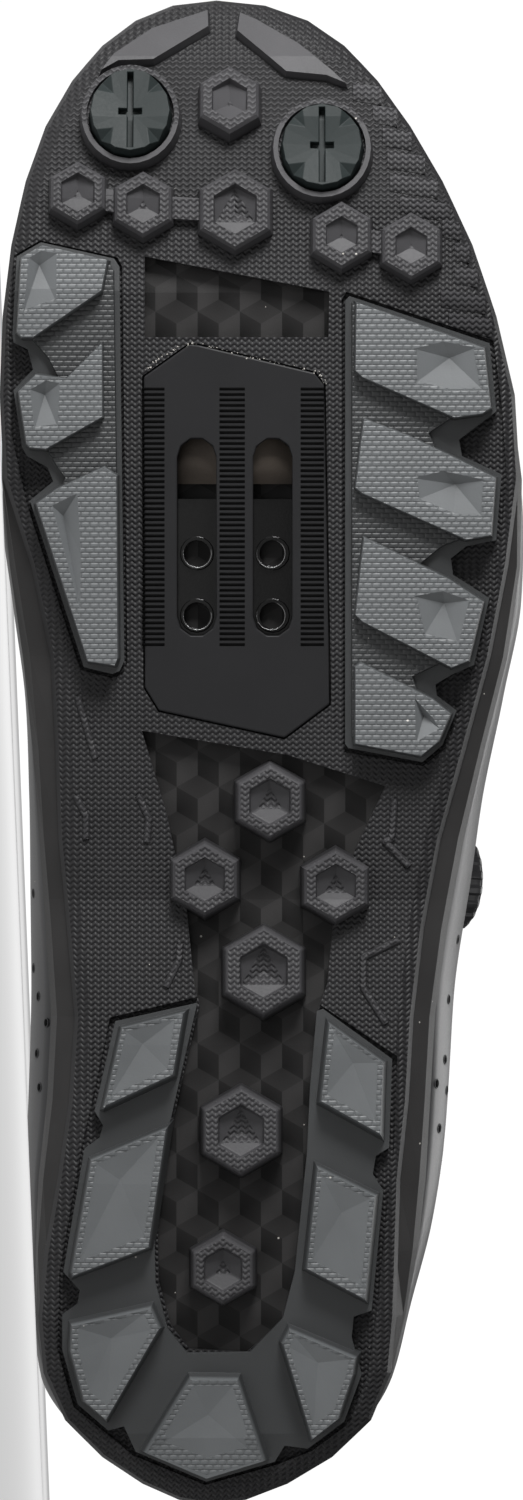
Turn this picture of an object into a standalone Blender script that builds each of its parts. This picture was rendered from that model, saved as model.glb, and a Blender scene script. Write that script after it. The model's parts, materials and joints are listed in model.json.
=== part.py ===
"""Left off-road cycling shoe, empty, lying on its medial side.

Every piece is drawn in the shoe's own frame: +X to the medial side, +Y from heel to toe,
+Z from the tread up to the collar. The sole's pieces are drawn flat and then take the
rocker of the profile table, so they stay parallel to each other. At the end one empty
carries all pieces to the pose in which the shoe lies on the floor.
"""

import math
from collections import namedtuple

import bmesh
import bpy
from mathutils import Matrix, Vector

# Driving sizes, in metres
LENGTH = 0.2800
BALL_WIDTH = 0.0969
SOLE_HEIGHT = 0.0240
INSTEP_HEIGHT = 0.0960
WALL = 0.0020
LASTING_MARGIN = 0.0090
FEATHER_INSET = 0.0012
GAP = 0.0003

TREAD = 0.0025
TREAD_ROLL = 0.0030
POCKET_DEPTH = 0.0012
BLOCK_FLANGE = 0.0010
BLOCK_HEIGHT = 0.0052
CHANNEL_FLOOR = 0.0024
PLATE_INSET = 0.0004
PLATE_RIM = 0.0010
LUG_DRAFT = 0.0007
HEEL_LUG_DRAFT = 0.0012
LUG_BORDER = 0.0016
LUG_DISH = 0.0009
LUG_DISH_LEAN = 0.16
LUG_POCKET = 0.0015
FACET_REACH = 1.5
HEX_HEIGHT = 0.0036
HEX_SKIRT = 0.0009
HEX_BEVEL = 0.0006
HEX_RIM = 0.0003
HEX_SINK = 0.20
TOE_HEX_HEIGHT = 0.0034
WING_HEIGHT = 0.0016
RIB_WIDTH = 0.0034
RIB_HEIGHT = 0.0008
RIB_TAIL = 0.0001
RIB_DRAFT = 0.0003
RIB_END = 0.0012

CLEAT_PLATE = 0.0029
CLEAT_PLATE_PROUD = 0.0004
SLOT_WIDTH = 0.0072
SLOT_LENGTH = 0.0366
SLOT_SPACING = 0.0140
NUT_WIDTH = 0.0260
NUT_LENGTH = 0.0280
NUT_THICK = 0.0018
NUT_POCKET_DEPTH = 0.0042
NUT_POCKET_SPARE = 0.0040
THREAD_RADIUS = 0.0024
BOSS_RADIUS = 0.0031
BOSS_HEIGHT = 0.0006
BOLT_PITCH = 0.0115

BOSS_RING_RADIUS = 0.0098
BOSS_RING_HEIGHT = 0.0030
BOSS_RING_DRAFT = 0.0008
BOSS_RING_ROOT = 0.62
PLUG_RADIUS = 0.0078
PLUG_HEIGHT = 0.0018
PLUG_TAPER = 0.0005
PLUG_SEAT = 0.0012
PLUG_CONE = 0.0008
PLUG_SLOT = 0.0011
PLUG_SLOT_REACH = 1.72
PLUG_SLOT_CROSS = 0.55
PLUG_SLOT_DEPTH = 0.0020
SCOOP_START = 0.42
SCOOP_END = 1.10
SCOOP_TURN = math.radians(17.0)
SCOOP_DEPTH = 0.0014

INSOLE = 0.0030
INSOLE_INSET = 0.0032
INSOLE_SEAT = 0.0008
TONGUE = 0.0035
TONGUE_TUCK = 0.0060
TONGUE_RISE = 0.0160
TONGUE_LEAN = 0.0110
TONGUE_UNDER = 0.0120
TONGUE_GAP = 0.0013
TONGUE_CROWN = 0.22
TONGUE_DROP = 0.45
TONGUE_ACROSS = (0.98, 0.5, 0.0, -0.5, -0.98)
# How far up the free end each of its rows stands, and how far it draws in
TONGUE_FREE_END = ((0.45, 0.34), (1.0, 0.22))

DIAL_RADIUS = 0.0098
DIAL_BASE = 0.0025
DIAL_KNOB = 0.0048
DIAL_GRIPS = 20
DIAL_GRIP_DEPTH = 0.0004
DIAL_ROUND = 0.0012
DIAL_RINGS = (0.1, 0.55, 1.0)
GUIDE_LENGTH = 0.0090
GUIDE_WIDTH = 0.0060
GUIDE_THICK = 0.0024
GUIDE_DRAW_IN = 0.14
LACE_RADIUS = 0.0008

SMOOTH_ANGLE = math.radians(32.0)

# How far each added form of the tread reaches into it, as a share of TREAD
HEX_ROOT = 0.50
WING_ROOT = 0.44
BRIDGE_ROOT = 0.38
RIB_ROOT = 0.56
EDGE_HEX_ROOT = 0.97
LUG_ROOT = 0.0004
# How far a cutter stands past the sole, and how many corners a side of its outline has
CUT_REACH = 0.0100
LUG_SPAN = 0.0080
OUTLINE_STEPS = 26

# Across is a share of BALL_WIDTH from the chart's centre line, medial positive;
# at is a share of LENGTH from the heel.
Plan = namedtuple("Plan", "at tread_in tread_out band_in band_out")
PLAN = (
    Plan(0.0000, 0.058, -0.058, 0.058, -0.058),
    Plan(0.0067, 0.139, 0.037, 0.136, 0.034),
    Plan(0.0267, 0.241, 0.152, 0.238, 0.149),
    Plan(0.0533, 0.324, 0.241, 0.321, 0.238),
    Plan(0.0800, 0.370, 0.283, 0.370, 0.284),
    Plan(0.1333, 0.384, 0.298, 0.393, 0.322),
    Plan(0.2000, 0.355, 0.302, 0.389, 0.352),
    Plan(0.2667, 0.326, 0.321, 0.370, 0.364),
    Plan(0.3333, 0.315, 0.333, 0.362, 0.376),
    Plan(0.4000, 0.337, 0.360, 0.378, 0.408),
    Plan(0.4667, 0.351, 0.402, 0.391, 0.445),
    Plan(0.5333, 0.355, 0.461, 0.406, 0.493),
    Plan(0.6000, 0.382, 0.500, 0.432, 0.532),
    Plan(0.6667, 0.444, 0.532, 0.455, 0.540),
    Plan(0.7000, 0.459, 0.534, 0.456, 0.531),
    Plan(0.7667, 0.455, 0.501, 0.451, 0.498),
    Plan(0.8333, 0.435, 0.441, 0.431, 0.437),
    Plan(0.9000, 0.385, 0.345, 0.381, 0.341),
    Plan(0.9500, 0.308, 0.247, 0.304, 0.243),
    Plan(0.9800, 0.224, 0.156, 0.220, 0.152),
    Plan(0.9933, 0.158, 0.079, 0.155, 0.076),
    Plan(1.0000, 0.046, -0.046, 0.046, -0.046),
)

# Underside of the tread and feather line, both as shares of SOLE_HEIGHT above the lug tips
Profile = namedtuple("Profile", "at base feather")
PROFILE = (
    Profile(0.000, 0.375, 1.040),
    Profile(0.050, 0.258, 1.020),
    Profile(0.125, 0.229, 1.000),
    Profile(0.214, 0.229, 0.980),
    Profile(0.304, 0.283, 0.980),
    Profile(0.400, 0.400, 0.990),
    Profile(0.490, 0.378, 0.890),
    Profile(0.800, 0.267, 0.620),
    Profile(0.860, 0.345, 0.710),
    Profile(0.910, 0.500, 0.860),
    Profile(0.955, 0.720, 1.080),
    Profile(1.000, 1.080, 1.420),
)

# One row per section of the last, from the heel to the toe. The section starts on the
# feather line at the share at of LENGTH and ends on the edge of the opening at the share
# to. Rim is a share of INSTEP_HEIGHT and edge_in and edge_out are shares of BALL_WIDTH.
# Belly is how far the lower wall stands out, as a share of BALL_WIDTH; rise, lean and
# crown place the section's two inner handles as shares of its own height and depth.
Section = namedtuple("Section", "at to edge_in edge_out rim belly_in belly_out rise lean crown")
SECTIONS = (
    Section(0.000, 0.045, 0.048, -0.048, 0.810, 0.060, 0.060, 0.35, 0.85, 0.75),
    Section(0.020, 0.052, 0.180, 0.085, 0.806, 0.082, 0.078, 0.35, 0.85, 0.75),
    Section(0.055, 0.080, 0.250, 0.165, 0.785, 0.088, 0.068, 0.35, 0.88, 0.75),
    Section(0.110, 0.130, 0.285, 0.225, 0.735, 0.067, 0.059, 0.42, 0.92, 0.75),
    Section(0.185, 0.205, 0.290, 0.255, 0.685, 0.096, 0.110, 0.46, 0.95, 0.75),
    Section(0.260, 0.280, 0.265, 0.258, 0.700, 0.165, 0.154, 0.46, 0.90, 0.75),
    Section(0.335, 0.345, 0.205, 0.228, 0.830, 0.160, 0.144, 0.46, 0.60, 0.78),
    Section(0.400, 0.400, 0.145, 0.185, 0.970, 0.124, 0.139, 0.42, 0.42, 0.84),
    Section(0.470, 0.465, 0.120, 0.190, 0.920, 0.091, 0.110, 0.38, 0.36, 0.86),
    Section(0.550, 0.535, 0.095, 0.192, 0.835, 0.066, 0.082, 0.36, 0.32, 0.88),
    Section(0.635, 0.600, 0.075, 0.180, 0.745, 0.065, 0.069, 0.38, 0.30, 0.89),
    Section(0.720, 0.652, 0.048, 0.152, 0.680, 0.006, 0.006, 0.40, 0.30, 0.88),
    Section(0.800, 0.678, 0.012, 0.115, 0.655, 0.004, 0.004, 0.42, 0.30, 0.84),
    Section(0.870, 0.687, -0.015, 0.088, 0.645, 0.002, 0.002, 0.44, 0.30, 0.78),
    Section(0.930, 0.691, -0.032, 0.070, 0.640, 0.000, 0.000, 0.46, 0.28, 0.68),
    Section(0.975, 0.693, -0.043, 0.059, 0.638, 0.000, 0.000, 0.48, 0.26, 0.60),
    Section(1.000, 0.694, -0.051, 0.051, 0.637, 0.000, 0.000, 0.50, 0.25, 0.56),
)

# Outlines on the sole's plan as (across, at) pairs, going round each form
TOP_WINDOW = ((0.181, 0.8233), (-0.170, 0.8000), (-0.168, 0.7700), (0.181, 0.7700))
CLEAT_OUTLINE = (
    (0.183, 0.7440), (0.096, 0.7653), (0.077, 0.7647), (-0.141, 0.7467), (-0.160, 0.7387),
    (-0.170, 0.5447), (-0.170, 0.5287), (-0.085, 0.5067), (0.154, 0.5247), (0.181, 0.5400),
)
WAIST_WINDOW = (
    (0.187, 0.5113), (0.141, 0.4580), (0.102, 0.3953), (0.087, 0.3433), (0.077, 0.3313),
    (0.112, 0.2780), (0.141, 0.2333),
    (0.156, 0.1780), (0.154, 0.1487), (0.131, 0.1200), (0.096, 0.1047), (-0.013, 0.1027),
    (-0.077, 0.1213), (-0.106, 0.1553),
    (-0.129, 0.2333), (-0.139, 0.2933), (-0.148, 0.3267), (-0.166, 0.3447), (-0.177, 0.3833),
    (-0.220, 0.4333), (-0.277, 0.4747), (-0.091, 0.4953),
)

MEDIAL_POCKET = (
    (0.430, 0.8240), (0.380, 0.8340), (0.233, 0.8227), (0.224, 0.8167), (0.214, 0.5560),
    (0.224, 0.5480), (0.245, 0.5460), (0.304, 0.5513),
    (0.407, 0.6620), (0.435, 0.7067), (0.439, 0.7713),
)
MEDIAL_BASE = (
    (0.424, 0.8227), (0.378, 0.8320), (0.239, 0.8213), (0.229, 0.8160), (0.220, 0.5573),
    (0.229, 0.5507), (0.243, 0.5487), (0.297, 0.5533),
    (0.399, 0.6627), (0.355, 0.6753), (0.366, 0.6847), (0.405, 0.6920), (0.414, 0.6980),
    (0.430, 0.7353), (0.393, 0.7487), (0.403, 0.7620), (0.430, 0.7667), (0.432, 0.7713),
)
MEDIAL_LUGS = (
    ((0.420, 0.8213), (0.376, 0.8300), (0.243, 0.8200), (0.256, 0.7973), (0.389, 0.7673),
         (0.416, 0.7673), (0.428, 0.7720)),
    ((0.256, 0.7700), (0.254, 0.7160), (0.366, 0.6940), (0.401, 0.6953), (0.410, 0.6987),
         (0.426, 0.7347), (0.389, 0.7473), (0.331, 0.7447)),
    ((0.256, 0.6873), (0.227, 0.6800), (0.225, 0.5587), (0.233, 0.5520), (0.293, 0.5553),
         (0.393, 0.6613), (0.351, 0.6720)),
)
MEDIAL_FLOOR = (
    (0.416, 0.8200), (0.247, 0.8187), (0.237, 0.8133), (0.227, 0.5600), (0.247, 0.5547),
    (0.289, 0.5600), (0.347, 0.6653), (0.335, 0.6773),
    (0.356, 0.6880), (0.366, 0.6947), (0.378, 0.7307), (0.347, 0.7427), (0.366, 0.7560),
    (0.397, 0.7680),
)
Facets = namedtuple("Facets", "apex corners")
MEDIAL_FACETS = (
    Facets((0.380, 0.8153), ((0.399, 0.8193), (0.376, 0.8240), (0.347, 0.8220), (0.347, 0.7913),
         (0.410, 0.7840))),
    Facets((0.370, 0.7320), ((0.397, 0.7353), (0.366, 0.7413), (0.341, 0.7393), (0.345, 0.7107),
         (0.389, 0.7087))),
    Facets((0.335, 0.6527), ((0.356, 0.6593), (0.308, 0.6673), (0.301, 0.6267), (0.303, 0.5913))),
)
LATERAL_POCKET = (
    (-0.202, 0.8000), (-0.482, 0.7680), (-0.499, 0.7213), (-0.507, 0.6800), (-0.497, 0.6367),
    (-0.482, 0.5973), (-0.451, 0.5520), (-0.418, 0.5227),
    (-0.393, 0.5000), (-0.349, 0.4880), (-0.197, 0.4973), (-0.193, 0.7947),
)
LATERAL_BASE = (
    (-0.208, 0.7967), (-0.474, 0.7660), (-0.487, 0.7213), (-0.464, 0.7153), (-0.416, 0.7027),
    (-0.422, 0.6920), (-0.497, 0.6800), (-0.487, 0.6367),
    (-0.430, 0.6327), (-0.401, 0.6247), (-0.405, 0.6140), (-0.474, 0.5987), (-0.445, 0.5547),
    (-0.405, 0.5487), (-0.372, 0.5420), (-0.374, 0.5347),
    (-0.412, 0.5247), (-0.385, 0.5020), (-0.347, 0.4907), (-0.206, 0.5000), (-0.200, 0.5027),
    (-0.200, 0.7940),
)
LATERAL_LUGS = (
    ((-0.214, 0.7947), (-0.468, 0.7640), (-0.482, 0.7220), (-0.461, 0.7173), (-0.405, 0.7147),
         (-0.229, 0.7413), (-0.212, 0.7467)),
    ((-0.229, 0.7193), (-0.324, 0.7067), (-0.418, 0.6913), (-0.491, 0.6787), (-0.482, 0.6380),
         (-0.428, 0.6347), (-0.229, 0.6653), (-0.212, 0.6700)),
    ((-0.229, 0.6420), (-0.401, 0.6127), (-0.468, 0.5973), (-0.439, 0.5560), (-0.401, 0.5507),
         (-0.229, 0.5813), (-0.212, 0.5867)),
    ((-0.229, 0.5587), (-0.370, 0.5340), (-0.407, 0.5233), (-0.382, 0.5033), (-0.345, 0.4927),
         (-0.212, 0.5013), (-0.212, 0.5547)),
)
LATERAL_FLOOR = (
    (-0.210, 0.7933), (-0.459, 0.7640), (-0.470, 0.7253), (-0.408, 0.7173), (-0.362, 0.7067),
    (-0.382, 0.6920), (-0.474, 0.6760), (-0.466, 0.6427),
    (-0.385, 0.6320), (-0.347, 0.6213), (-0.366, 0.6107), (-0.451, 0.5960), (-0.428, 0.5600),
    (-0.378, 0.5547), (-0.331, 0.5467), (-0.347, 0.5320),
    (-0.393, 0.5227), (-0.370, 0.5053), (-0.341, 0.4953), (-0.216, 0.5040), (-0.210, 0.5080),
)
LATERAL_FACETS = (
    Facets((-0.397, 0.7560), ((-0.329, 0.7620), (-0.385, 0.7667), (-0.447, 0.7627), (-0.461, 0.7347),
         (-0.405, 0.7333), (-0.329, 0.7387))),
    Facets((-0.408, 0.6733), ((-0.329, 0.6773), (-0.385, 0.6820), (-0.466, 0.6760), (-0.462, 0.6507),
         (-0.408, 0.6520), (-0.333, 0.6627))),
    Facets((-0.387, 0.5953), ((-0.329, 0.6000), (-0.385, 0.6033), (-0.434, 0.5973), (-0.414, 0.5680),
         (-0.347, 0.5733))),
    Facets((-0.349, 0.5213), ((-0.331, 0.5333), (-0.368, 0.5193), (-0.378, 0.5133), (-0.335, 0.5047))),
)
HEEL_POCKET = (
    (0.083, 0.3360), (0.247, 0.3227), (0.285, 0.2613), (0.301, 0.2380), (0.343, 0.1547),
    (0.347, 0.1047), (0.316, 0.0667), (0.254, 0.0493),
    (0.204, 0.0347), (0.066, 0.0147), (-0.073, 0.0287), (-0.135, 0.0373), (-0.208, 0.0560),
    (-0.243, 0.0880), (-0.260, 0.1293),
    (-0.283, 0.2093), (-0.293, 0.2367), (-0.299, 0.2973), (-0.154, 0.3307),
)
HEEL_INNER = (
    (-0.146, 0.3267), (-0.133, 0.2767), (-0.127, 0.2333), (-0.104, 0.1560), (-0.081, 0.1253),
    (-0.019, 0.1033), (0.100, 0.1027), (0.137, 0.1187),
    (0.160, 0.1487), (0.162, 0.1780), (0.146, 0.2333), (0.116, 0.2800), (0.081, 0.3320),
)
HEEL_OUTER = (
    (0.237, 0.3200), (0.276, 0.2613), (0.260, 0.2520), (0.266, 0.2440), (0.295, 0.2367),
    (0.335, 0.1560), (0.304, 0.1440), (0.308, 0.1353),
    (0.337, 0.1280), (0.337, 0.1047), (0.308, 0.0693), (0.250, 0.0520), (0.220, 0.0547),
    (0.198, 0.0380), (0.064, 0.0180), (-0.066, 0.0313),
    (-0.085, 0.0420), (-0.129, 0.0400), (-0.198, 0.0580), (-0.231, 0.0887), (-0.212, 0.1133),
    (-0.216, 0.1267), (-0.250, 0.1307),
    (-0.272, 0.2093), (-0.252, 0.2200), (-0.258, 0.2320), (-0.283, 0.2373), (-0.289, 0.2953),
    (-0.158, 0.3280),
)
HEEL_LUGS = (
    ((0.092, 0.3300), (0.116, 0.2820), (0.260, 0.2593), (0.270, 0.2613), (0.233, 0.3180)),
    ((0.125, 0.2560), (0.162, 0.1700), (0.322, 0.1493), (0.329, 0.1560), (0.291, 0.2320)),
    ((0.162, 0.1380), (0.139, 0.1200), (0.250, 0.0553), (0.304, 0.0707), (0.331, 0.1047),
         (0.329, 0.1253)),
    ((0.100, 0.0913), (-0.004, 0.0907), (-0.060, 0.0327), (0.064, 0.0200), (0.195, 0.0387)),
    ((-0.089, 0.1240), (-0.231, 0.1033), (-0.225, 0.0893), (-0.195, 0.0593), (-0.131, 0.0427),
         (-0.069, 0.1107)),
    ((-0.137, 0.2307), (-0.268, 0.2087), (-0.247, 0.1327), (-0.114, 0.1567)),
    ((-0.160, 0.3247), (-0.283, 0.2947), (-0.277, 0.2393), (-0.141, 0.2653)),
)

# Lugs with a six-sided top, each with its centre and top radius
Hexagon = namedtuple("Hexagon", "centre radius recess")
TOE_HEXES = (
    Hexagon((0.020, 0.9233), 0.0062, 0.0035),
    Hexagon((0.308, 0.8627), 0.0057, 0.0033),
    Hexagon((0.184, 0.8553), 0.0060, 0.0033),
    Hexagon((0.009, 0.8520), 0.0074, 0.0043),
    Hexagon((-0.193, 0.8353), 0.0061, 0.0031),
    Hexagon((-0.325, 0.8283), 0.0061, 0.0031),
)
EDGE_HEXES = (
    Hexagon((0.067, 0.4133), 0.0068, 0.0040),
    Hexagon((-0.182, 0.4087), 0.0067, 0.0040),
)
WAIST_HEXES = (
    Hexagon((-0.057, 0.4647), 0.0069, 0.0041),
    Hexagon((-0.045, 0.3520), 0.0082, 0.0048),
    Hexagon((-0.002, 0.2480), 0.0080, 0.0046),
    Hexagon((0.032, 0.1580), 0.0064, 0.0038),
)
TOE_WINGS = (
    ((0.056, 0.9907), (0.054, 0.9747), (0.164, 0.9507), (0.231, 0.9500), (0.276, 0.9427),
         (0.247, 0.9587), (0.173, 0.9767)),
    ((0.006, 0.9893), (-0.035, 0.9827), (-0.116, 0.9660), (-0.181, 0.9473), (-0.212, 0.9347),
         (-0.164, 0.9400), (-0.085, 0.9427), (0.013, 0.9720)),
)
Bridge = namedtuple("Bridge", "start end")
TOE_BRIDGES = (
    Bridge((0.308, 0.8627), (0.185, 0.8553)),
    Bridge((-0.193, 0.8353), (-0.324, 0.8287)),
    Bridge((0.185, 0.8553), (0.010, 0.8520)),
)
BRIDGE_WIDTH = 0.0040
BRIDGE_HEIGHT = 0.0016
STUDS = {"medial": (0.209, 0.9140), "lateral": (-0.156, 0.8920)}
# Where each rib of the lateral toe starts, from the stud to the big lug
RIB_STARTS = ((-0.216, 0.9340), (-0.254, 0.9187), (-0.272, 0.9033), (-0.281, 0.8880),
    (-0.285, 0.8727), (-0.304, 0.8573), (-0.385, 0.8420), (-0.408, 0.8267), (-0.408, 0.8113),
    (-0.382, 0.7960), (-0.397, 0.7807))
RIB_TILT = math.radians(9.0)

SLOT_CENTRE = (0.010, 0.6387)
NUT_CENTRE = (0.010, 0.6147)
BOLT_CENTRE = (0.010, 0.6080)

# How squarely the medial side faces the floor at the least, as a cosine
REST_SIDE = 0.90

DIAL_ROW = 7.12
DIAL_UP = 0.56
THROAT_TOP = 7.25
THROAT_END = 12.2
LACE_LIFT = 1.6
LACE_SHOULDER = 0.55
GUIDE_ROWS = (8.3, 9.6, 10.9)
GUIDE_UP = 0.90
LACE_RUNS = tuple((a, b) for a, b in ((8.2, 8.2), (9.5, 9.5), (10.8, 10.8)))


def spot(pair, height=0.0):
    """Return the place of a chart pair at a height above the flat tread."""
    return Vector((pair[0] * BALL_WIDTH, pair[1] * LENGTH, height))


def fitted(xs, ys, x, level_ends=False):
    """Read a smooth curve through a table's points, with monotone cubic pieces."""
    if x <= xs[0]:
        return ys[0]
    if x >= xs[-1]:
        return ys[-1]
    slopes = [(ys[k + 1] - ys[k]) / (xs[k + 1] - xs[k]) for k in range(len(xs) - 1)]
    tangents = [0.0 if level_ends else slopes[0]]
    for before, after in zip(slopes, slopes[1:]):
        steady = before * after > 0.0
        tangents.append(2.0 * before * after / (before + after) if steady else 0.0)
    tangents.append(0.0 if level_ends else slopes[-1])
    k = max(i for i in range(len(xs) - 1) if xs[i] <= x)
    step = xs[k + 1] - xs[k]
    u = (x - xs[k]) / step
    return (
        ys[k] * (1 + 2 * u) * (1 - u) ** 2
        + tangents[k] * step * u * (1 - u) ** 2
        + ys[k + 1] * u * u * (3 - 2 * u)
        + tangents[k + 1] * step * u * u * (u - 1)
    )


def turn(at):
    """Return the angle round the plan at which a share of the length lies."""
    return math.acos(max(-1.0, min(1.0, 1.0 - 2.0 * at)))


def half_width(column, at):
    """Return how far a named outline stands from the chart's centre line."""
    angles = [turn(row.at) for row in PLAN]
    return BALL_WIDTH * fitted(angles, [getattr(row, column) for row in PLAN], turn(at))


def outline(name, ats, inset=0.0):
    """Return a closed outline of the sole, going round from the heel by the medial side."""
    medial = [Vector((half_width(name + "_in", at), at * LENGTH, 0.0)) for at in ats]
    lateral = [Vector((-half_width(name + "_out", at), at * LENGTH, 0.0)) for at in ats]
    ring = medial + lateral[-2:0:-1]
    return shifted(ring, -inset) if inset else ring


def shifted(ring, distance):
    """Move each corner of a ring outwards by a distance, square to its neighbours."""
    area = sum(a.x * b.y - b.x * a.y for a, b in zip(ring, ring[1:] + ring[:1]))
    side = distance if area > 0 else -distance
    moved = []
    for k, point in enumerate(ring):
        before = (point - ring[k - 1]).normalized()
        after = (ring[(k + 1) % len(ring)] - point).normalized()
        normal = Vector((before.y + after.y, -before.x - after.x, 0.0)).normalized()
        reach = max(0.5, normal.dot(Vector((after.y, -after.x, 0.0))))
        moved.append(point + normal * side / reach)
    return moved


def profile(column, y):
    """Return the height of a column of the profile table, straight between its rows."""
    at = y / LENGTH
    rows = list(zip(PROFILE, PROFILE[1:]))
    low, high = next((r for r in rows if at <= r[1].at), rows[-1])
    share = (at - low.at) / (high.at - low.at)
    return SOLE_HEIGHT * (getattr(low, column) * (1 - share) + getattr(high, column) * share)


def make_object(name, bm, collection):
    """Turn a bmesh into a named object of a collection."""
    bmesh.ops.recalc_face_normals(bm, faces=bm.faces)
    mesh = bpy.data.meshes.new(name)
    bm.to_mesh(mesh)
    bm.free()
    obj = bpy.data.objects.new(name, mesh)
    collection.objects.link(obj)
    return obj


def loft(bm, rings):
    """Skin rings of equal length into a closed solid with flat ends."""
    skin = [[bm.verts.new(p) for p in ring] for ring in rings]
    for low, high in zip(skin, skin[1:]):
        for k in range(len(low)):
            n = (k + 1) % len(low)
            bm.faces.new((low[k], low[n], high[n], high[k]))
    bm.faces.new(skin[0][::-1])
    bm.faces.new(skin[-1])


def prism(bm, ring, low, high, draft=0.0):
    """Add a straight block between two heights; draft narrows its low end."""
    foot = [Vector((p.x, p.y, low)) for p in (shifted(ring, -draft) if draft else ring)]
    head = [Vector((p.x, p.y, high)) for p in ring]
    loft(bm, [foot, head])


def dished(bm, border, depth, lean):
    """Sink slanted facets into the lowest flat face, deepest a little towards the toe."""
    face = min(bm.faces, key=lambda f: f.calc_center_median().z)
    bmesh.ops.inset_region(bm, faces=[face], thickness=border, use_even_offset=True)
    reach = [vert.co.y for vert in face.verts]
    poked = bmesh.ops.poke(bm, faces=[face])
    for vert in poked["verts"]:
        vert.co.z += depth
        vert.co.y += lean * (max(reach) - min(reach))


def facet_cutter(name, pocket, tip, depth, collection):
    """Make a pyramid that cuts slanted facets into a lug's tip, deepest at its apex."""
    apex = spot(pocket.apex, tip + depth)
    corners = [apex + (spot(c, tip) - apex) * FACET_REACH for c in pocket.corners]
    bm = bmesh.new()
    rim = [bm.verts.new(c) for c in corners]
    peak = bm.verts.new(apex)
    for a, b in zip(rim, rim[1:] + rim[:1]):
        bm.faces.new((a, b, peak))
    bm.faces.new(rim[::-1])
    return make_object(name, bm, collection)


def settle(obj, height):
    """Cut a flat piece at every row of the profile and move its points to their height."""
    bm = bmesh.new()
    bm.from_mesh(obj.data)
    for row in PROFILE[1:-1]:
        bmesh.ops.bisect_plane(
            bm,
            geom=bm.verts[:] + bm.edges[:] + bm.faces[:],
            dist=1e-7,
            plane_co=(0.0, row.at * LENGTH, 0.0),
            plane_no=(0.0, 1.0, 0.0),
        )
    for vert in bm.verts:
        lift = vert.co.z
        vert.co.z = height(vert.co.y, lift)
        vert.co.y -= min(lift, 0.0) * rocker_slope(vert.co.y)
    bm.to_mesh(obj.data)
    bm.free()


def rocker_slope(y):
    """Return how steeply the tread rises to the toe, averaged over a lug's length."""
    return (profile("base", y + LUG_SPAN) - profile("base", y - LUG_SPAN)) / (2 * LUG_SPAN)


def on_base(y, z):
    """Lift a height above the flat tread onto the rocker."""
    return profile("base", y) + z


def apply_modifiers(obj):
    """Replace an object's mesh by what its modifiers make of it."""
    graph = bpy.context.evaluated_depsgraph_get()
    mesh = bpy.data.meshes.new_from_object(obj.evaluated_get(graph))
    obj.modifiers.clear()
    obj.data = mesh


def combine(obj, tools, operation):
    """Join tools to an object or cut them from it, and remove the tools."""
    for tool in tools:
        step = obj.modifiers.new(tool.name, "BOOLEAN")
        step.operation = operation
        step.object = tool
    bpy.context.view_layer.update()
    apply_modifiers(obj)
    for tool in tools:
        bpy.data.objects.remove(tool)


def block(name, ring, low, high, collection, draft=0.0):
    """Return a prism as an object of its own."""
    bm = bmesh.new()
    prism(bm, ring, low, high, draft)
    return make_object(name, bm, collection)


def hexagon_ring(centre, radius, height):
    """Return six corners round a place, with two of them on the length line."""
    corners = [math.radians(90 + 60 * k) for k in range(6)]
    return [Vector((centre.x + radius * math.cos(a), centre.y + radius * math.sin(a), height)) for a in corners]


def hex_lug(name, shape, top, tip, collection):
    """Make a six-sided lug whose tip has a recess of three slanted faces like a cube's corner."""
    centre = spot(shape.centre)
    bm = bmesh.new()
    rings = [hexagon_ring(centre, shape.radius + HEX_SKIRT, top)]
    rings.append(hexagon_ring(centre, shape.radius, tip + HEX_BEVEL))
    rings.append(hexagon_ring(centre, shape.radius - HEX_BEVEL, tip))
    rings.append(hexagon_ring(centre, shape.recess + HEX_RIM, tip))
    step = HEX_SINK * shape.recess
    floor = hexagon_ring(centre, shape.recess, tip)
    for k, corner in enumerate(floor):
        corner.z += step * (1.0 if k % 2 else 2.0)
    rings.append(floor)
    skin = [[bm.verts.new(p) for p in ring] for ring in rings]
    for low, high in zip(skin, skin[1:]):
        for k in range(6):
            n = (k + 1) % 6
            bm.faces.new((low[k], low[n], high[n], high[k]))
    bm.faces.new(skin[0][::-1])
    heart = bm.verts.new((centre.x, centre.y, tip + 3.0 * step))
    for k in (0, 2, 4):
        bm.faces.new((heart, skin[-1][k], skin[-1][(k + 1) % 6], skin[-1][(k + 2) % 6]))
    return make_object(name, bm, collection)


def disc(bm, centre, radius, low, high, sides, taper=0.0):
    """Add a round block standing on the plan."""
    made = bmesh.ops.create_cone(
        bm,
        cap_ends=True,
        segments=sides,
        radius1=radius - taper,
        radius2=radius,
        depth=high - low,
        matrix=Matrix.Translation((centre.x, centre.y, (low + high) / 2)),
    )
    return made["verts"]


def stadium(centre, width, length, sides=5):
    """Return a slot's outline: a straight run between two half circles."""
    radius, half = width / 2, (length - width) / 2
    ring = []
    for k in range(2 * sides + 2):
        end = k // (sides + 1)
        angle = math.pi * ((k % (sides + 1)) / sides + end)
        shift = half if end == 0 else -half
        ring.append(centre + Vector((radius * math.cos(angle), shift + radius * math.sin(angle), 0.0)))
    return ring


def rectangle(centre, width, length):
    """Return the four corners of a block seen in plan."""
    w, h = width / 2, length / 2
    return [centre + Vector(c) for c in ((w, -h, 0), (w, h, 0), (-w, h, 0), (-w, -h, 0))]


def sole_ats():
    """Return the shares of the length at which the sole's outlines have a corner."""
    angles = [math.pi * k / OUTLINE_STEPS for k in range(OUTLINE_STEPS + 1)]
    return [(1.0 - math.cos(angle)) / 2.0 for angle in angles]


def at_height(ring, height):
    """Return a copy of a ring at one height."""
    return [Vector((p.x, p.y, height)) for p in ring]


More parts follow.
